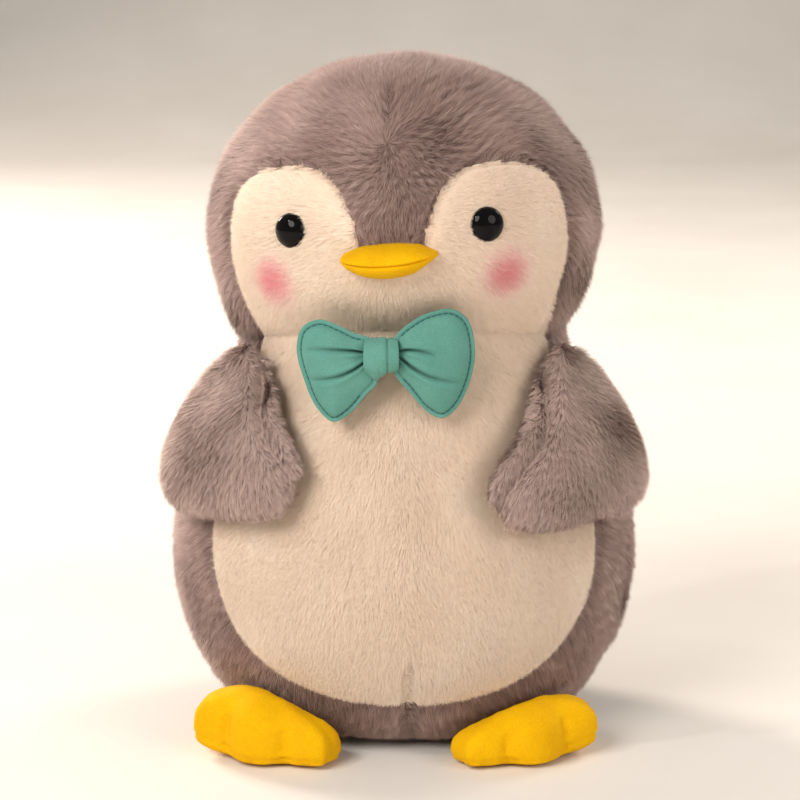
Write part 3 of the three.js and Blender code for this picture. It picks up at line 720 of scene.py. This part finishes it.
PILE_PIECES = []
r = torso_grey.roots
front = r[:, 1] < SIDE_SEAM_Y
for panel, mask in (("side_panel", front), ("back_panel", ~front)):
    for side, half in halves(r[:, 0], 0):
        fur = torso_grey.part(f"{panel}_{side}_pile", mask & half, GREY_PILE)
        PILE_PIECES.append((fur, f"{panel}_{side}", "grey_pile"))
for side, half in halves(torso_pale.roots[:, 0], BELLY_DART[0]):
    fur = torso_pale.part(f"belly_panel_{side}_pile", half, CREAM_PILE)
    PILE_PIECES.append((fur, "belly_panel", "cream_pile"))
r = unturned(head_grey.roots)
crown = r[:, 1] < CROWN_BACK_Y
PILE_PIECES.append((head_grey.part("crown_panel_pile", crown, GREY_PILE), "crown_panel", "grey_pile"))
for side, half in halves(r[:, 0], HEAD_X):
    fur = head_grey.part(f"head_back_panel_{side}_pile", ~crown & half, GREY_PILE)
    PILE_PIECES.append((fur, f"head_back_panel_{side}", "grey_pile"))
fur = head_pale.part("face_panel_pile", np.ones(len(head_pale.roots), bool), CREAM_PILE)
PILE_PIECES.append((fur, "face_panel", "cream_pile"))

for obj, cad_node, slot_name in PILE_PIECES:
    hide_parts(cad_node)
    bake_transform(obj)
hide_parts("base_panel", "torso_stuffing")
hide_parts("head_stuffing")
for obj in (torso_skin, head_skin):
    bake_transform(obj)

# ---- Padded pieces: flippers and feet ----


def pillow_grid(rings, columns):
    """The unit pillow: its thickness along Y and its plan in XZ, with a pole on each side."""
    lift = np.sin(np.linspace(math.pi / 2, -math.pi / 2, 2 * rings + 1))
    reach = np.cos(np.linspace(math.pi / 2, -math.pi / 2, 2 * rings + 1))
    turn = np.linspace(0, 2 * math.pi, columns, endpoint=False)
    points = [(0, 1, 0)]
    for y, r in zip(lift[1:-1], reach[1:-1]):
        points.extend((r * math.sin(t), y, r * math.cos(t)) for t in turn)
    points.append((0, -1, 0))
    rows = len(lift) - 2
    faces = [(0, 1 + (c + 1) % columns, 1 + c)[::-1] for c in range(columns)]
    for i in range(rows - 1):
        for c in range(columns):
            d = (c + 1) % columns
            low, high = 1 + i * columns, 1 + (i + 1) * columns
            faces.append((low + c, high + c, high + d, low + d))
    last = 1 + (rows - 1) * columns
    faces.extend((last + (c + 1) % columns, last + c, len(points) - 1)[::-1] for c in range(columns))
    return np.array(points, float), faces


def facing_out(points, faces):
    """The faces, turned round if their volume is negative."""
    volume = 0
    for f in faces:
        for k in range(1, len(f) - 1):
            volume += np.dot(points[f[0]], np.cross(points[f[k]], points[f[k + 1]]))
    return faces if volume > 0 else [f[::-1] for f in faces]


def puffed(name, points, faces, voxel, cap, pressure=4.0, held=None):
    """Stuffs a closed cloth shape: remeshes it, blows it up as cloth, and smooths it once."""
    scene = bpy.context.scene
    obj = new_object(name, points, facing_out(points, faces))
    remesh = obj.modifiers.new("remesh", "REMESH")
    remesh.mode = "VOXEL"
    remesh.voxel_size = voxel * MM
    obj = applied(obj)
    rest = coordinates(obj)
    if held is not None:
        group = obj.vertex_groups.new(name="held")
        for i, w in enumerate(held(rest / MM)):
            if w > 0.01:
                group.add([i], float(w), "REPLACE")
    cloth = obj.modifiers.new("cloth", "CLOTH")
    cloth.settings.quality = 6
    cloth.settings.mass = 0.15
    cloth.settings.tension_stiffness = 12
    cloth.settings.compression_stiffness = 12
    cloth.settings.bending_stiffness = 0.4
    cloth.settings.use_pressure = True
    cloth.settings.uniform_pressure_force = pressure
    cloth.settings.effector_weights.gravity = 0
    if held is not None:
        cloth.settings.vertex_group_mass = "held"
    cloth.point_cache.frame_start, cloth.point_cache.frame_end = 1, 20
    for f in range(1, 21):
        scene.frame_set(f)
    graph = bpy.context.evaluated_depsgraph_get()
    shown = obj.evaluated_get(graph)
    moved = np.empty(len(rest) * 3)
    shown.data.vertices.foreach_get("co", moved)
    move = moved.reshape(-1, 3) - rest
    size = np.linalg.norm(move, axis=1, keepdims=True)
    move *= np.minimum(1, cap * MM / np.maximum(size, 1e-9))
    obj.modifiers.clear()
    scene.frame_set(1)
    rest = rest + move
    obj.data.vertices.foreach_set("co", rest.ravel())
    obj.data.update()
    subdivision = obj.modifiers.new("smooth", "SUBSURF")
    subdivision.levels = subdivision.render_levels = 1
    return applied(obj)


def coordinates(obj):
    co = np.empty(len(obj.data.vertices) * 3)
    obj.data.vertices.foreach_get("co", co)
    return co.reshape(-1, 3)


def applied(obj):
    """The object with its modifiers made part of its mesh."""
    graph = bpy.context.evaluated_depsgraph_get()
    made = bpy.data.meshes.new_from_object(obj.evaluated_get(graph))
    made.polygons.foreach_set("use_smooth", np.ones(len(made.polygons), bool))
    obj.modifiers.clear()
    obj.data = made
    return obj


def closed_curve(points, t):
    """A centripetal Catmull-Rom curve through points, at shares t of the way round."""
    p = np.array(points, float)
    t = np.asarray(t) * len(p)
    i = np.floor(t).astype(int)
    f = (t - i)[:, None]
    p0, p1, p2, p3 = (p[(i + k) % len(p)] for k in (-1, 0, 1, 2))
    d0, d1, d2 = (np.sqrt(np.linalg.norm(b - a, axis=1))[:, None] for a, b in ((p0, p1), (p1, p2), (p2, p3)))
    m1 = ((p1 - p0) / d0 - (p2 - p0) / (d0 + d1) + (p2 - p1) / d1) * d1
    m2 = ((p2 - p1) / d1 - (p3 - p1) / (d1 + d2) + (p3 - p2) / d2) * d1
    return p1 + m1 * f + (-3 * p1 + 3 * p2 - 2 * m1 - m2) * f * f + (2 * p1 - 2 * p2 + m1 + m2) * f ** 3


def torso_radius(azimuth, z):
    facing = np.cos(azimuth) ** 2
    high = smoothstep(z - NECK_LIFT / 2, TORSO_WIDE_Z + 20, NECK_Z)
    base = np.maximum(z - NECK_LIFT * facing * high, 0)
    wide = np.interp(base, TORSO_LINE[:, 1], TORSO_LINE[:, 0])
    return wide / np.sqrt(np.sin(azimuth) ** 2 + (np.cos(azimuth) / TORSO_DEPTH) ** 2)


# From the middle of the flipper: along the body, the belly's side negative, and up.
FLIPPER_OUTLINE = [(3.5, 40), (31, 29), (42, -2), (28, -23), (-10, -26), (-41, -19), (-46, -5), (-30, 16),
                   (-13, 34)]
FURROW, FURROW_HALF = 2.8, 3.0  # depth and half width of the furrow at a flipper's front seam
PAD_DEPTH = 3.0  # how far a flipper's cloth lies under the tips of its pile


def place_flipper(unit_points, side, deeper):
    """Unit pillow points on one side of the torso, sunk by deeper millimetres from the outer surface."""
    x, y, z = unit_points.T
    spread_out = np.hypot(x, z) * (1 - deeper / 60)
    turn = (np.arctan2(x, z) / (2 * math.pi)) % 1
    edge = closed_curve(FLIPPER_OUTLINE, turn) * spread_out[:, None]
    droop = FLIPPER_DROOP * smoothstep(-edge[:, 0], 0, 45) if side > 0 else 0
    if side > 0:
        edge[:, 0] *= 1 + FLIPPER_REACH * smoothstep(-edge[:, 0], 10, 46)
    azimuth = FLIPPER_AZIMUTH + edge[:, 0] / FLIPPER_WRAP
    height = FLIPPER_Z + edge[:, 1] - droop
    thick = FLIPPER_THICK + (FLIPPER_ROOT - FLIPPER_THICK) * smoothstep(edge[:, 1], 5, 33)
    inwards = np.where(y < 0, 1 - FLIPPER_FLAT, 1)
    half = thick / 2 - deeper
    lift = FLIPPER_OFF + (thick / 2) * (1 - FLIPPER_FLAT) + half * y * inwards
    r = torso_radius(azimuth, height) + lift
    return np.stack([side * np.sin(azimuth) * r, -np.cos(azimuth) * r, height], 1)


def on_pillow(turn, reach=1.0):
    """Points of the unit pillow's upper half, at bearings turn and that far out from its pole."""
    return np.stack([reach * np.sin(turn), np.sqrt(1 - reach ** 2) + 0 * turn, reach * np.cos(turn)], 1)


def flipper_rim(side):
    """The seam between a flipper's outer and inner cloth."""
    return place_flipper(on_pillow(np.linspace(0, 2 * math.pi, 200)), side, PAD_DEPTH)


def as_surface(obj):
    return Surface(coordinates(obj) / MM, [tuple(p.vertices) for p in obj.data.polygons])


def move_points(obj, points):
    """Puts the mesh's points where these are, in millimetres."""
    obj.data.vertices.foreach_set("co", (points * MM).ravel())
    obj.data.update()


def flipper_front_seam(side):
    """Where the inner cloth comes round to the front, along the edge that faces the belly."""
    share = np.linspace(0, 1, 90)
    turn = 2 * math.pi * (0.58 + 0.40 * share)
    return place_flipper(on_pillow(turn, 1 - 0.24 * np.sin(math.pi * share)), side, PAD_DEPTH)


pillow_points, pillow_faces = pillow_grid(14, 64)
for side_name, sign in (("left", 1), ("right", -1)):
    body = f"flipper_{side_name}"
    pad = puffed(f"{body}_backing", place_flipper(pillow_points, sign, PAD_DEPTH), pillow_faces, 3.0, 1.2)
    pad.data.materials.append(GREY_SHADED_BACKING)
    front_seam = flipper_front_seam(sign)
    surface = as_surface(pad)
    furrow = FURROW * np.exp(-(nearest(surface.points, front_seam)[0] / FURROW_HALF) ** 2)
    move_points(pad, surface.points - surface.normals * furrow[:, None])
    surface = as_surface(pad)
    points = surface.points
    outwards = unit(points * np.array([1, 1, 0]))
    ahead = np.cross(outwards, np.array([0, 0, 1.0])) * sign
    ahead = np.where((ahead[:, 1] < 0)[:, None], ahead, -ahead)
    rim_far, rim_away = nearest(points, flipper_rim(sign))
    near_rim = 1 - smoothstep(rim_far, 2, 14)
    outward = unit(points - points.mean(0)) * near_rim[:, None]
    flow = tangent(DOWN * 0.8 + ahead * 0.3 + outward * 0.6, surface.normals)
    front_far, front_away = nearest(points, front_seam)
    in_front = front_far + 1.2 < rim_far
    rim_away = np.where(in_front[:, None], front_away, rim_away)
    rim_far = np.where(in_front, front_far + 2.2, rim_far + 1.0)
    pile = Pile(surface, 11.0, 4.1, 0.21, 54, 200 + sign, flow, rim_away, rim_far, 0.3, flipper_lit_tone,
                tuft=0.24, ruffle=0.31, tuft_length=2.8, meets=False)
    fur = pile.part(f"{body}_pile", np.ones(len(pile.roots), bool), GREY_PILE)
    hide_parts(f"{body}_inner_panel", f"{body}_stuffing")
    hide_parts(f"{body}_outer_panel")
    for obj in (pad, fur):
        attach(obj, body)

YELLOW = cloth_material("yellow_velour_nap", (234, 181, 0), (216, 159, 0), 1500, roughness=0.9, sheen=0.04,
                        bump=0.25, tint=(246, 200, 0))
YELLOW.node_tree.nodes["Principled BSDF"].inputs["Specular IOR Level"].default_value = 0.15


def underside(x, y):
    azimuth = np.arctan2(np.abs(x), -y)
    r = np.hypot(x, y)
    low = np.full(len(r), 200.0)
    for z in np.arange(TORSO_WIDE_Z, 0, -0.5):
        low = np.where(torso_radius(azimuth, np.full(len(r), z)) >= r, z, low)
    return low


def place_foot(unit_points, side, deeper):
    x, y, z = unit_points.T
    bearing = np.degrees(np.arctan2(x, z))
    toe_part = 1 - smoothstep(np.abs(bearing), 60, 95)
    scallop = 1 + TOE_BULGE * toe_part * np.cos(bearing / TOE_SPREAD * 2 * math.pi)
    shrink = 1 - deeper / 28
    forward = (z * scallop * shrink + 1) / 2 * FOOT_LONG
    across = x * scallop * shrink * FOOT_HALF
    heel_x = FOOT_LEFT_X if side > 0 else FOOT_RIGHT_X
    px = side * (heel_x + math.sin(FOOT_SPLAY) * forward + math.cos(FOOT_SPLAY) * across)
    py = FOOT_HEEL_Y - math.cos(FOOT_SPLAY) * forward + math.sin(FOOT_SPLAY) * across
    room = underside(px, py) - 1.5 - np.maximum(forward, 0) * FOOT_WEDGE
    slope = 0.74 + 0.26 * smoothstep(x, -0.9, 0.35)
    outer = smoothstep(x, 0, 1)
    seam_z = FOOT_SEAM_Z + FOOT_TOE_RISE * outer
    high = FOOT_HIGH_LEFT if side > 0 else FOOT_HIGH
    top = np.maximum(np.minimum(high * slope, room), seam_z + 1.5) - deeper
    full = (top - seam_z) * np.abs(y) ** 0.55
    flat = -(seam_z - 0.3) * np.abs(y) ** (0.4 + 0.4 * outer)
    return np.stack([px, py, seam_z + np.where(y > 0, full, flat)], 1)


for side_name, sign in (("left", 1), ("right", -1)):
    body = f"foot_{side_name}"
    rim = place_foot(on_pillow(np.linspace(0, 2 * math.pi, 240)), sign, SEAM_DEPTH)
    between_toes = (np.full(20, math.radians(bearing)) for bearing in (-TOE_SPREAD / 2, TOE_SPREAD / 2))
    grooves = [(place_foot(on_pillow(turn, np.linspace(0.95, 1, 20)), sign, SEAM_DEPTH), TOE_GROOVE,
                TOE_GROOVE_HALF) for turn in between_toes]

    def held(points, rim=rim):
        return (nearest(points, rim)[0] < 2.0) * 1.0

    pad = puffed(f"{body}_pad", place_foot(pillow_points, sign, 0.3), pillow_faces, 2.2, 1.8, held=held)
    surface = as_surface(pad)
    co = surface.points
    for line, deep, half in grooves + [(rim, RIM_GROOVE, RIM_GROOVE_HALF)]:
        co = co - surface.normals * (deep * np.exp(-(nearest(co, line)[0] / half) ** 2))[:, None]
    co[:, 2] = np.maximum(co[:, 2], 0.05)
    move_points(pad, co)
    pad.data.materials.append(YELLOW)
    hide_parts(f"{body}_upper", f"{body}_sole", f"{body}_stuffing")
    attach(pad, body)

# ---- Beak ----

turn = np.linspace(0, 2 * math.pi, 160, endpoint=False)
rows = np.linspace(-math.pi / 2 + 0.02, math.pi / 2 - 0.02, 65)
beak_points = []
for a in rows:
    for t in turn:
        side_x, level, out = math.sin(a), math.cos(a) * math.sin(t), math.cos(a) * math.cos(t)
        level, out = level * abs(math.cos(a)) ** -0.2, out * abs(math.cos(a)) ** -0.1
        level *= 1 - (0.42 if side_x > 0 else 0.1) * float(smoothstep(abs(side_x), 0.5, 1.0))
        taper = 1 - (0.0 if level > 0 else 0.28) * side_x * side_x
        up = BEAK_UP if level > 0 else BEAK_DOWN
        droop = BEAK_DROOP * (1 - side_x * side_x) * (1 - abs(level))
        crease = BEAK_CREASE * math.exp(-(level / 0.06) ** 2) * math.cos(a) ** 0.5
        swell = 1 - crease / 11
        y = BEAK_Y - out * taper * BEAK_OUT * swell
        beak_points.append((HEAD_X + BEAK_SHIFT + side_x * BEAK_X, y,
                            BEAK_Z + level * taper * up - droop + BEAK_SLANT * side_x))
beak_points = np.array(beak_points)
beak_faces = facing_out(beak_points, grid_faces(len(rows), len(turn)))
beak_pad = new_object("beak_pad", turn_head(beak_points), beak_faces)
beak_pad.data.materials.append(YELLOW)
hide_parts("beak_upper", "beak_lower", "beak_stuffing")
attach(beak_pad, "head")

# ---- Eyes ----

EYE_BLACK, tree, shader = node_material("eye_black", 0.07)
place = node(tree, "ShaderNodeTexCoord")
dust, = noises(tree, place, (900.0, 2.0))
tree.links.new(two_tone(tree, dust, (6, 5, 6), (16, 13, 12), 0.4, 0.8), shader.inputs["Base Color"])
shader.inputs["IOR"].default_value = 1.42
shader.inputs["Specular IOR Level"].default_value = 0.18

for side_name, (spot, out) in EYES.items():
    line = [(0, -EYE_SINK - EYE_BACK), (EYE_R * 0.8, -EYE_SINK - EYE_BACK), (EYE_R * 0.97, -EYE_SINK - 0.6),
            (EYE_R, -EYE_SINK + 0.4)]
    angles = np.linspace(0.06, math.pi / 2, 14)
    base = -EYE_SINK + EYE_RIM
    line += [(EYE_R * math.cos(a), base + (EYE_DOME - EYE_RIM) * math.sin(a)) for a in angles[:-1]]
    line.append((0, base + EYE_DOME - EYE_RIM))
    line = np.array(line)
    across = unit(np.cross([0, 0, 1.0], out))
    above = np.cross(out, across)
    turn = np.linspace(0, 2 * math.pi, 48, endpoint=False)
    points = [spot + out * line[0, 1]]
    for radius, level in line[1:-1]:
        for t in turn:
            points.append(spot + across * radius * math.cos(t) + above * radius * math.sin(t) + out * level)
    points.append(spot + out * line[-1, 1])
    points = np.array(points)
    faces = capped_rings(len(line) - 2, len(turn))
    dome = new_object(f"eye_{side_name}_dome", points, facing_out(points - spot, faces))
    dome.data.materials.append(EYE_BLACK)
    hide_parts(f"eye_{side_name}")
    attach(dome, "head")

# ---- Bow tie ----


def weave_material(name, light, dark, thread, roughness=0.85):
    """Plain-woven cloth: crossing threads as a fine bump, with slightly uneven dye, and painted shade along
    the pleats where the mesh's fold attribute is high.
    """
    made, tree, shader = node_material(name, roughness, sheen=0.2, sheen_tint=linear(light))
    place = node(tree, "ShaderNodeTexCoord")
    waves = []
    for direction in ("X", "Z"):
        settings = {"Scale": 1.0 / (thread * MM) / 6.28, "Distortion": 1.2, "Detail": 1.0,
                    "Detail Scale": 2.0}
        wave = node(tree, "ShaderNodeTexWave", bands_direction=direction, **settings)
        tree.links.new(place.outputs["Object"], wave.inputs["Vector"])
        waves.append(wave.outputs["Fac"])
    crossing = mixed(tree, 0.5, waves[0], waves[1])
    crepe, dye = noises(tree, place, (2200.0, 2.0), (60.0, 3.0))
    grain = mixed(tree, 0.75, crossing, crepe)
    colour = mixed(tree, 0.35, two_tone(tree, grain, dark, light, 0.3, 0.7),
                   two_tone(tree, dye, dark, light, 0.35, 0.65))
    # Painted shade: the colour darkens towards a dark teal along the pleats, by the mesh's fold attribute.
    fold = node(tree, "ShaderNodeAttribute", attribute_name="fold")
    colour = mixed(tree, fold.outputs["Fac"], colour, linear(np.array(dark) * 0.45))
    tree.links.new(colour, shader.inputs["Base Color"])
    relieved(tree, shader, grain, 0.35, 0.0003)
    return made


TEAL = weave_material("teal_weave_cloth", (98, 156, 143), (72, 130, 119), 0.3)
TEAL_THREAD = weave_material("teal_thread_twist", (38, 112, 112), (24, 84, 88), 0.25, roughness=0.6)

# Each wing: its outline from the knot, its middle, and its two pleats. The right one is mirrored.
WINGS = {
    "left": ([(4.5, 6), (11.2, 12.4), (18, 15.4), (24.5, 16), (30, 12.2), (32.6, 1), (30.8, -10),
              (26.4, -18.8), (21.3, -22.4), (15.5, -19.6), (9.4, -12.4), (4.5, -6)], (18.0, -2.0),
             [bezier((5.5, 1.6), (10, 2.8), (15, 2.2), (19, 0.2), 60),
              bezier((5.5, 0.2), (10, -3), (15, -8.5), (28, -9.5), 60)]),
    "right": ([(3.0, 5.4), (9.5, 8), (15, 10.6), (21.5, 12.4), (27.3, 9.6), (29.4, 2), (26.8, -9.2),
               (22.6, -18.6), (16.8, -23.6), (11, -20.4), (5, -13.6), (1.4, -9.4)], (16.0, -4.0),
              [bezier((5.5, 1.2), (10, 2.2), (15, 2.6), (26, 2.4), 60),
               bezier((5.5, -2), (10, -5), (15, -8.2), (26, -8.4), 60)]),
}
HEM = 1.7  # width of the flat hem outside the topstitching
STITCH_LONG, STITCH_STEP, STITCH_R, STITCH_POINTS = 1.7, 2.05, 0.24, 7
TACK_THREADS, TACK_R, TACK_LONG, TACK_THREAD_R = 26, 3.6, 8.0, 0.62
KNOT_HOLE = 2.6  # half the room for the gathered cloth, front to back


def wing_surface(x, z, share, hem_share, pleats, front):
    """How far a point of a wing stands off the bow's middle sheet, and how much painted shade it gets from
    lying in a pleat.

    share is 0 at the wing's middle and 1 at its edge."""
    puff = 0.5 + 0.5 * smoothstep(x / 31, 0.15, 0.55)
    inside = np.clip(share / hem_share, 0, 1)
    h = 0.45 + (BOW_THICK / 2 * puff - 0.45) * (1 - inside ** 2.4) ** 0.55
    h = h - 0.25 * np.exp(-((share - hem_share) / 0.025) ** 2)
    h = np.where(share > 0.99, 0.25, h)
    fold = np.zeros(len(x))
    if not front:
        return h * 0.75, fold
    place_2d = np.stack([x, z], 1)
    for pleat in pleats:
        d = np.linalg.norm(place_2d[:, None] - pleat[None], axis=2)
        best = d.argmin(1)
        along = best / (len(pleat) - 1)
        near = d[np.arange(len(x)), best]
        width = 0.32 + 0.7 * along
        fade = (1 - along) ** 0.5 * np.minimum(1, h / 2)
        h = h - 2.2 * fade * np.exp(-(near / width) ** 2)
        h = h + 0.6 * fade * np.exp(-((near - 2.6 * width) / (1.5 * width)) ** 2)
        # Painted shade along the pleat's line, which darkens the cloth's colour.
        fold = np.maximum(fold, 0.9 * (1 - along) ** 0.5 * np.exp(-(near / (0.3 + 0.2 * along)) ** 2))
    return h, fold


def inward(edge, distance):
    """For each point of an outline round the origin, the share of its radius at that distance inside."""
    along = unit(np.roll(edge, -1, 0) - np.roll(edge, 1, 0))
    outwards = np.stack([along[:, 1], -along[:, 0]], 1)
    square = np.abs((unit(edge) * outwards).sum(1)).clip(0.45, 1)
    return 1 - distance / (np.linalg.norm(edge, axis=1) * square)


def tube(line, radii, sides, points, faces):
    """Adds a closed tube along a line to lists of points and faces."""
    direction = unit(np.gradient(line, axis=0))
    u = unit(np.cross(direction, [0, 1.0, 0]))
    v = np.cross(direction, u)
    base = len(points)
    for k in range(len(line)):
        for a in np.linspace(0, 2 * math.pi, sides, endpoint=False):
            points.append(line[k] + radii[k] * (math.cos(a) * u[k] + math.sin(a) * v[k]))
    for k in range(len(line) - 1):
        for a in range(sides):
            b = (a + 1) % sides
            low, high = base + k * sides, base + (k + 1) * sides
            faces.append((low + a, low + b, high + b, high + a))
    faces.append(tuple(base + a for a in range(sides))[::-1])
    faces.append(tuple(base + (len(line) - 1) * sides + a for a in range(sides)))


for side_name, sign in (("left", 1), ("right", -1)):
    outline, middle, pleats = WINGS[side_name]
    middle = np.array(middle)
    rings, columns = 84, 240
    edge = closed_curve(outline, np.linspace(0, 1, columns, endpoint=False)) - middle
    hem_share = inward(edge, HEM)
    layers = {True: [], False: []}
    pleat_shades = []
    for front, layer in layers.items():
        for i in range(1, rings + 1):
            share = (i / rings) ** 0.8
            flat = middle + edge * share
            h, fold = wing_surface(flat[:, 0], flat[:, 1], np.full(columns, share), hem_share, pleats, front)
            pleat_shades.append(fold)
            y = (-h if front else h) + flat[:, 0] ** 2 / BOW_WRAP
            layer.append(np.stack([sign * flat[:, 0], y, flat[:, 1]], 1))
    poles = [layer[0].mean(0)[None] for layer in layers.values()]
    points = np.vstack([poles[0], *layers[True], *layers[False][::-1], poles[1]])
    faces = capped_rings(2 * rings, columns)
    wing = new_object(f"bow_wing_{side_name}", points + BOW_AT, facing_out(points, faces))
    # The pleats' painted shade is kept on the mesh as its fold attribute.
    crease = wing.data.attributes.new("fold", "FLOAT", "POINT")
    crease.data.foreach_set("value", np.concatenate([[0], *pleat_shades, [0]]).astype(np.float32))
    wing.data.materials.append(TEAL)
    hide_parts(*(("bow_front", "bow_padding") if sign > 0 else ("bow_back",)))
    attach(wing, "bow")

    # Topstitching: short raised stitches along the inner side of the hem.
    fine = closed_curve(outline, np.linspace(0, 1, 1500, endpoint=False)) - middle
    path = middle + fine * inward(fine, HEM - 0.1)[:, None]
    path = path[path[:, 0] > KNOT_X + 0.6]
    along = np.concatenate([[0], np.cumsum(np.linalg.norm(np.diff(path, axis=0), axis=1))])
    points, faces = [], []
    at = 0.4
    while at + STITCH_LONG < along[-1]:
        s = np.linspace(at, at + STITCH_LONG, STITCH_POINTS)
        x, z = np.interp(s, along, path[:, 0]), np.interp(s, along, path[:, 1])
        y = -0.30 - 0.22 * np.sin(np.linspace(0, math.pi, STITCH_POINTS)) + x ** 2 / BOW_WRAP
        round_end = np.sin(math.pi * (np.arange(STITCH_POINTS) + 0.5) / STITCH_POINTS)
        radii = STITCH_R * np.sqrt(np.maximum(round_end, 0.2))
        tube(np.stack([sign * x, y, z], 1), radii, 8, points, faces)
        at += STITCH_STEP
    stitches = new_object(f"bow_topstitching_{side_name}", np.array(points) + BOW_AT, faces)
    stitches.data.materials.append(TEAL_THREAD)
    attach(stitches, "bow")

# The knot: a folded band round the middle.
columns, rows_count = 96, 33
turn = np.linspace(0, 2 * math.pi, columns, endpoint=False)
outer, inner = [], []
for i in range(rows_count):
    x = KNOT_X * (2 * i / (rows_count - 1) - 1)
    share = x / KNOT_X
    bulge = 1 - 0.10 * share ** 4
    fold = 0.13 * math.exp(-((share - 0.36) / 0.05) ** 2) - 0.04 * math.exp(-((share - 0.14) / 0.2) ** 2)
    ripple = 0.012 * np.sin(5 * turn + 3 * share) + 0.01 * np.sin(9 * turn - 2 * share)
    low = 0.32 * math.exp(-((share + 0.35) / 0.35) ** 2) - 0.12 * max(share, 0)
    size = bulge - fold + ripple + np.where(np.cos(turn) < 0, low * np.cos(turn) ** 2, 0)
    wide = x * (1 - 0.06 * np.cos(turn) ** 2)
    outer.append(np.stack([wide, -KNOT_THICK / 2 * size * np.sin(turn), KNOT_Z * size * np.cos(turn)], 1))
    inner.append(np.stack([wide * 0.94, -KNOT_HOLE * np.sin(turn), (KNOT_Z - 1.1) * bulge * np.cos(turn)], 1))
points = np.vstack(outer + inner[::-1])
faces = grid_faces(2 * rows_count, columns)
last = (2 * rows_count - 1) * columns
faces += [(last + c, last + (c + 1) % columns, (c + 1) % columns, c) for c in range(columns)]
knot_band = new_object("bow_knot_band", points + BOW_AT, facing_out(points, faces))
knot_band.data.materials.append(TEAL)
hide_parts("bow_knot")
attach(knot_band, "bow")

# The tack: a bundle of doubled threads that holds the knot to the neck's seam.
points, faces = [], []
for k in range(TACK_THREADS):
    t = np.linspace(0, 1, 9)
    angle = 2 * math.pi * k * 0.382 + 0.9 * t
    ring = TACK_R * math.sqrt((k + 0.5) / TACK_THREADS) * (1 - 0.22 * np.sin(math.pi * t))
    y = KNOT_THICK / 2 - 1 + (TACK_LONG + 1) * t
    line = np.stack([ring * np.cos(angle), y, ring * np.sin(angle)], 1)
    tube(line, np.full(len(t), TACK_THREAD_R), 8, points, faces)
tack = new_object("bow_tack_threads", np.array(points) + BOW_AT, facing_out(np.array(points), faces))
tack.data.materials.append(TEAL_THREAD)
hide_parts("bow_tack_stitches")
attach(tack, "bow")

# ---- The inner pieces that stay as they are ----

FIBRE = cloth_material("polyester_fibre", (246, 246, 243), (222, 222, 220), 500, roughness=0.95, bump=0.6)
NYLON = cloth_material("nylon_moulding", (232, 230, 222), (222, 219, 210), 300, roughness=0.45, sheen=0.0,
                       bump=0.05)
for name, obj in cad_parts.items():
    if obj.hide_render:
        continue
    obj.data.materials.clear()
    obj.data.materials.append(NYLON if "washer" in name else FIBRE)

# ---- Floor, light and camera ----

FLOOR, tree, shader = node_material("pale_floor", 0.6)
place = node(tree, "ShaderNodeTexCoord")
grain, = noises(tree, place, (8.0, 4.0))
tree.links.new(two_tone(tree, grain, (226, 221, 214), (233, 229, 223), 0.3, 0.7), shader.inputs["Base Color"])
FLOOR_BACK, FLOOR_CURVE = 1.6, 0.8  # metres: where the sweep starts to rise, and its radius
FLOOR_DROP = 0.2  # millimetres below the level that the penguin stands on
sweep = [(-3.0, 0.0), (FLOOR_BACK, 0.0)]
for a in np.linspace(0.1, math.pi / 2, 12):
    sweep.append((FLOOR_BACK + FLOOR_CURVE * math.sin(a), FLOOR_CURVE - FLOOR_CURVE * math.cos(a)))
sweep.append((FLOOR_BACK + FLOOR_CURVE, 3.0))
floor_points = [(x * 1000, y * 1000, z * 1000 - FLOOR_DROP) for y, z in sweep for x in (-3.5, 3.5)]
floor_faces = [(2 * i, 2 * i + 1, 2 * i + 3, 2 * i + 2) for i in range(len(sweep) - 1)]
floor = new_object("floor_sweep", np.array(floor_points), floor_faces)
floor.data.materials.append(FLOOR)


def soft_light(name, place, aim, size, power, colour):
    data = bpy.data.lights.new(name, "AREA")
    data.shape = "DISK"
    data.size = size
    data.energy = power
    data.color = colour
    lamp = linked(name, data)
    lamp.location = place
    lamp.rotation_euler = (Vector(aim) - Vector(place)).to_track_quat("-Z", "Y").to_euler()


MIDDLE = (0.0, 0.0, 0.12)
soft_light("key_light", (-0.85, -1.15, 1.0), MIDDLE, 0.9, 19.4, (1.0, 0.94, 0.88))
soft_light("fill_light", (1.2, -1.0, 0.7), MIDDLE, 1.0, 9, (1.0, 0.93, 0.87))
soft_light("rim_left_light", (-1.0, 1.1, 0.7), MIDDLE, 0.5, 30, (1.0, 0.88, 0.78))
soft_light("catch_light", (-0.78, -0.48, 0.92), (0.0, -0.06, 0.19), 0.06, 2.4, (1.0, 0.97, 0.94))
soft_light("rim_right_light", (0.9, 0.8, 0.8), MIDDLE, 0.5, 7, (1.0, 0.92, 0.85))

world = bpy.data.worlds.new("studio")
world.use_nodes = True
world.node_tree.nodes["Background"].inputs["Color"].default_value = (1.0, 0.96, 0.92, 1)
world.node_tree.nodes["Background"].inputs["Strength"].default_value = 0.35
bpy.context.scene.world = world
bpy.context.scene.view_settings.view_transform = "Standard"

CAMERA_FAR, VIEW_WIDE, SENSOR = 1.1, 0.2965, 36  # metres, metres at the penguin, and millimetres
camera_data = bpy.data.cameras.new("camera")
camera_data.sensor_width = SENSOR
camera_data.lens = SENSOR * CAMERA_FAR / VIEW_WIDE
camera = linked("camera", camera_data)
AIM = Vector((-0.0015, 0.0, 0.1186))
TILT = math.radians(12)
camera.location = AIM + Vector((0, -math.cos(TILT), math.sin(TILT))) * CAMERA_FAR
camera.rotation_euler = (AIM - camera.location).to_track_quat("-Z", "Y").to_euler()
bpy.context.scene.camera = camera
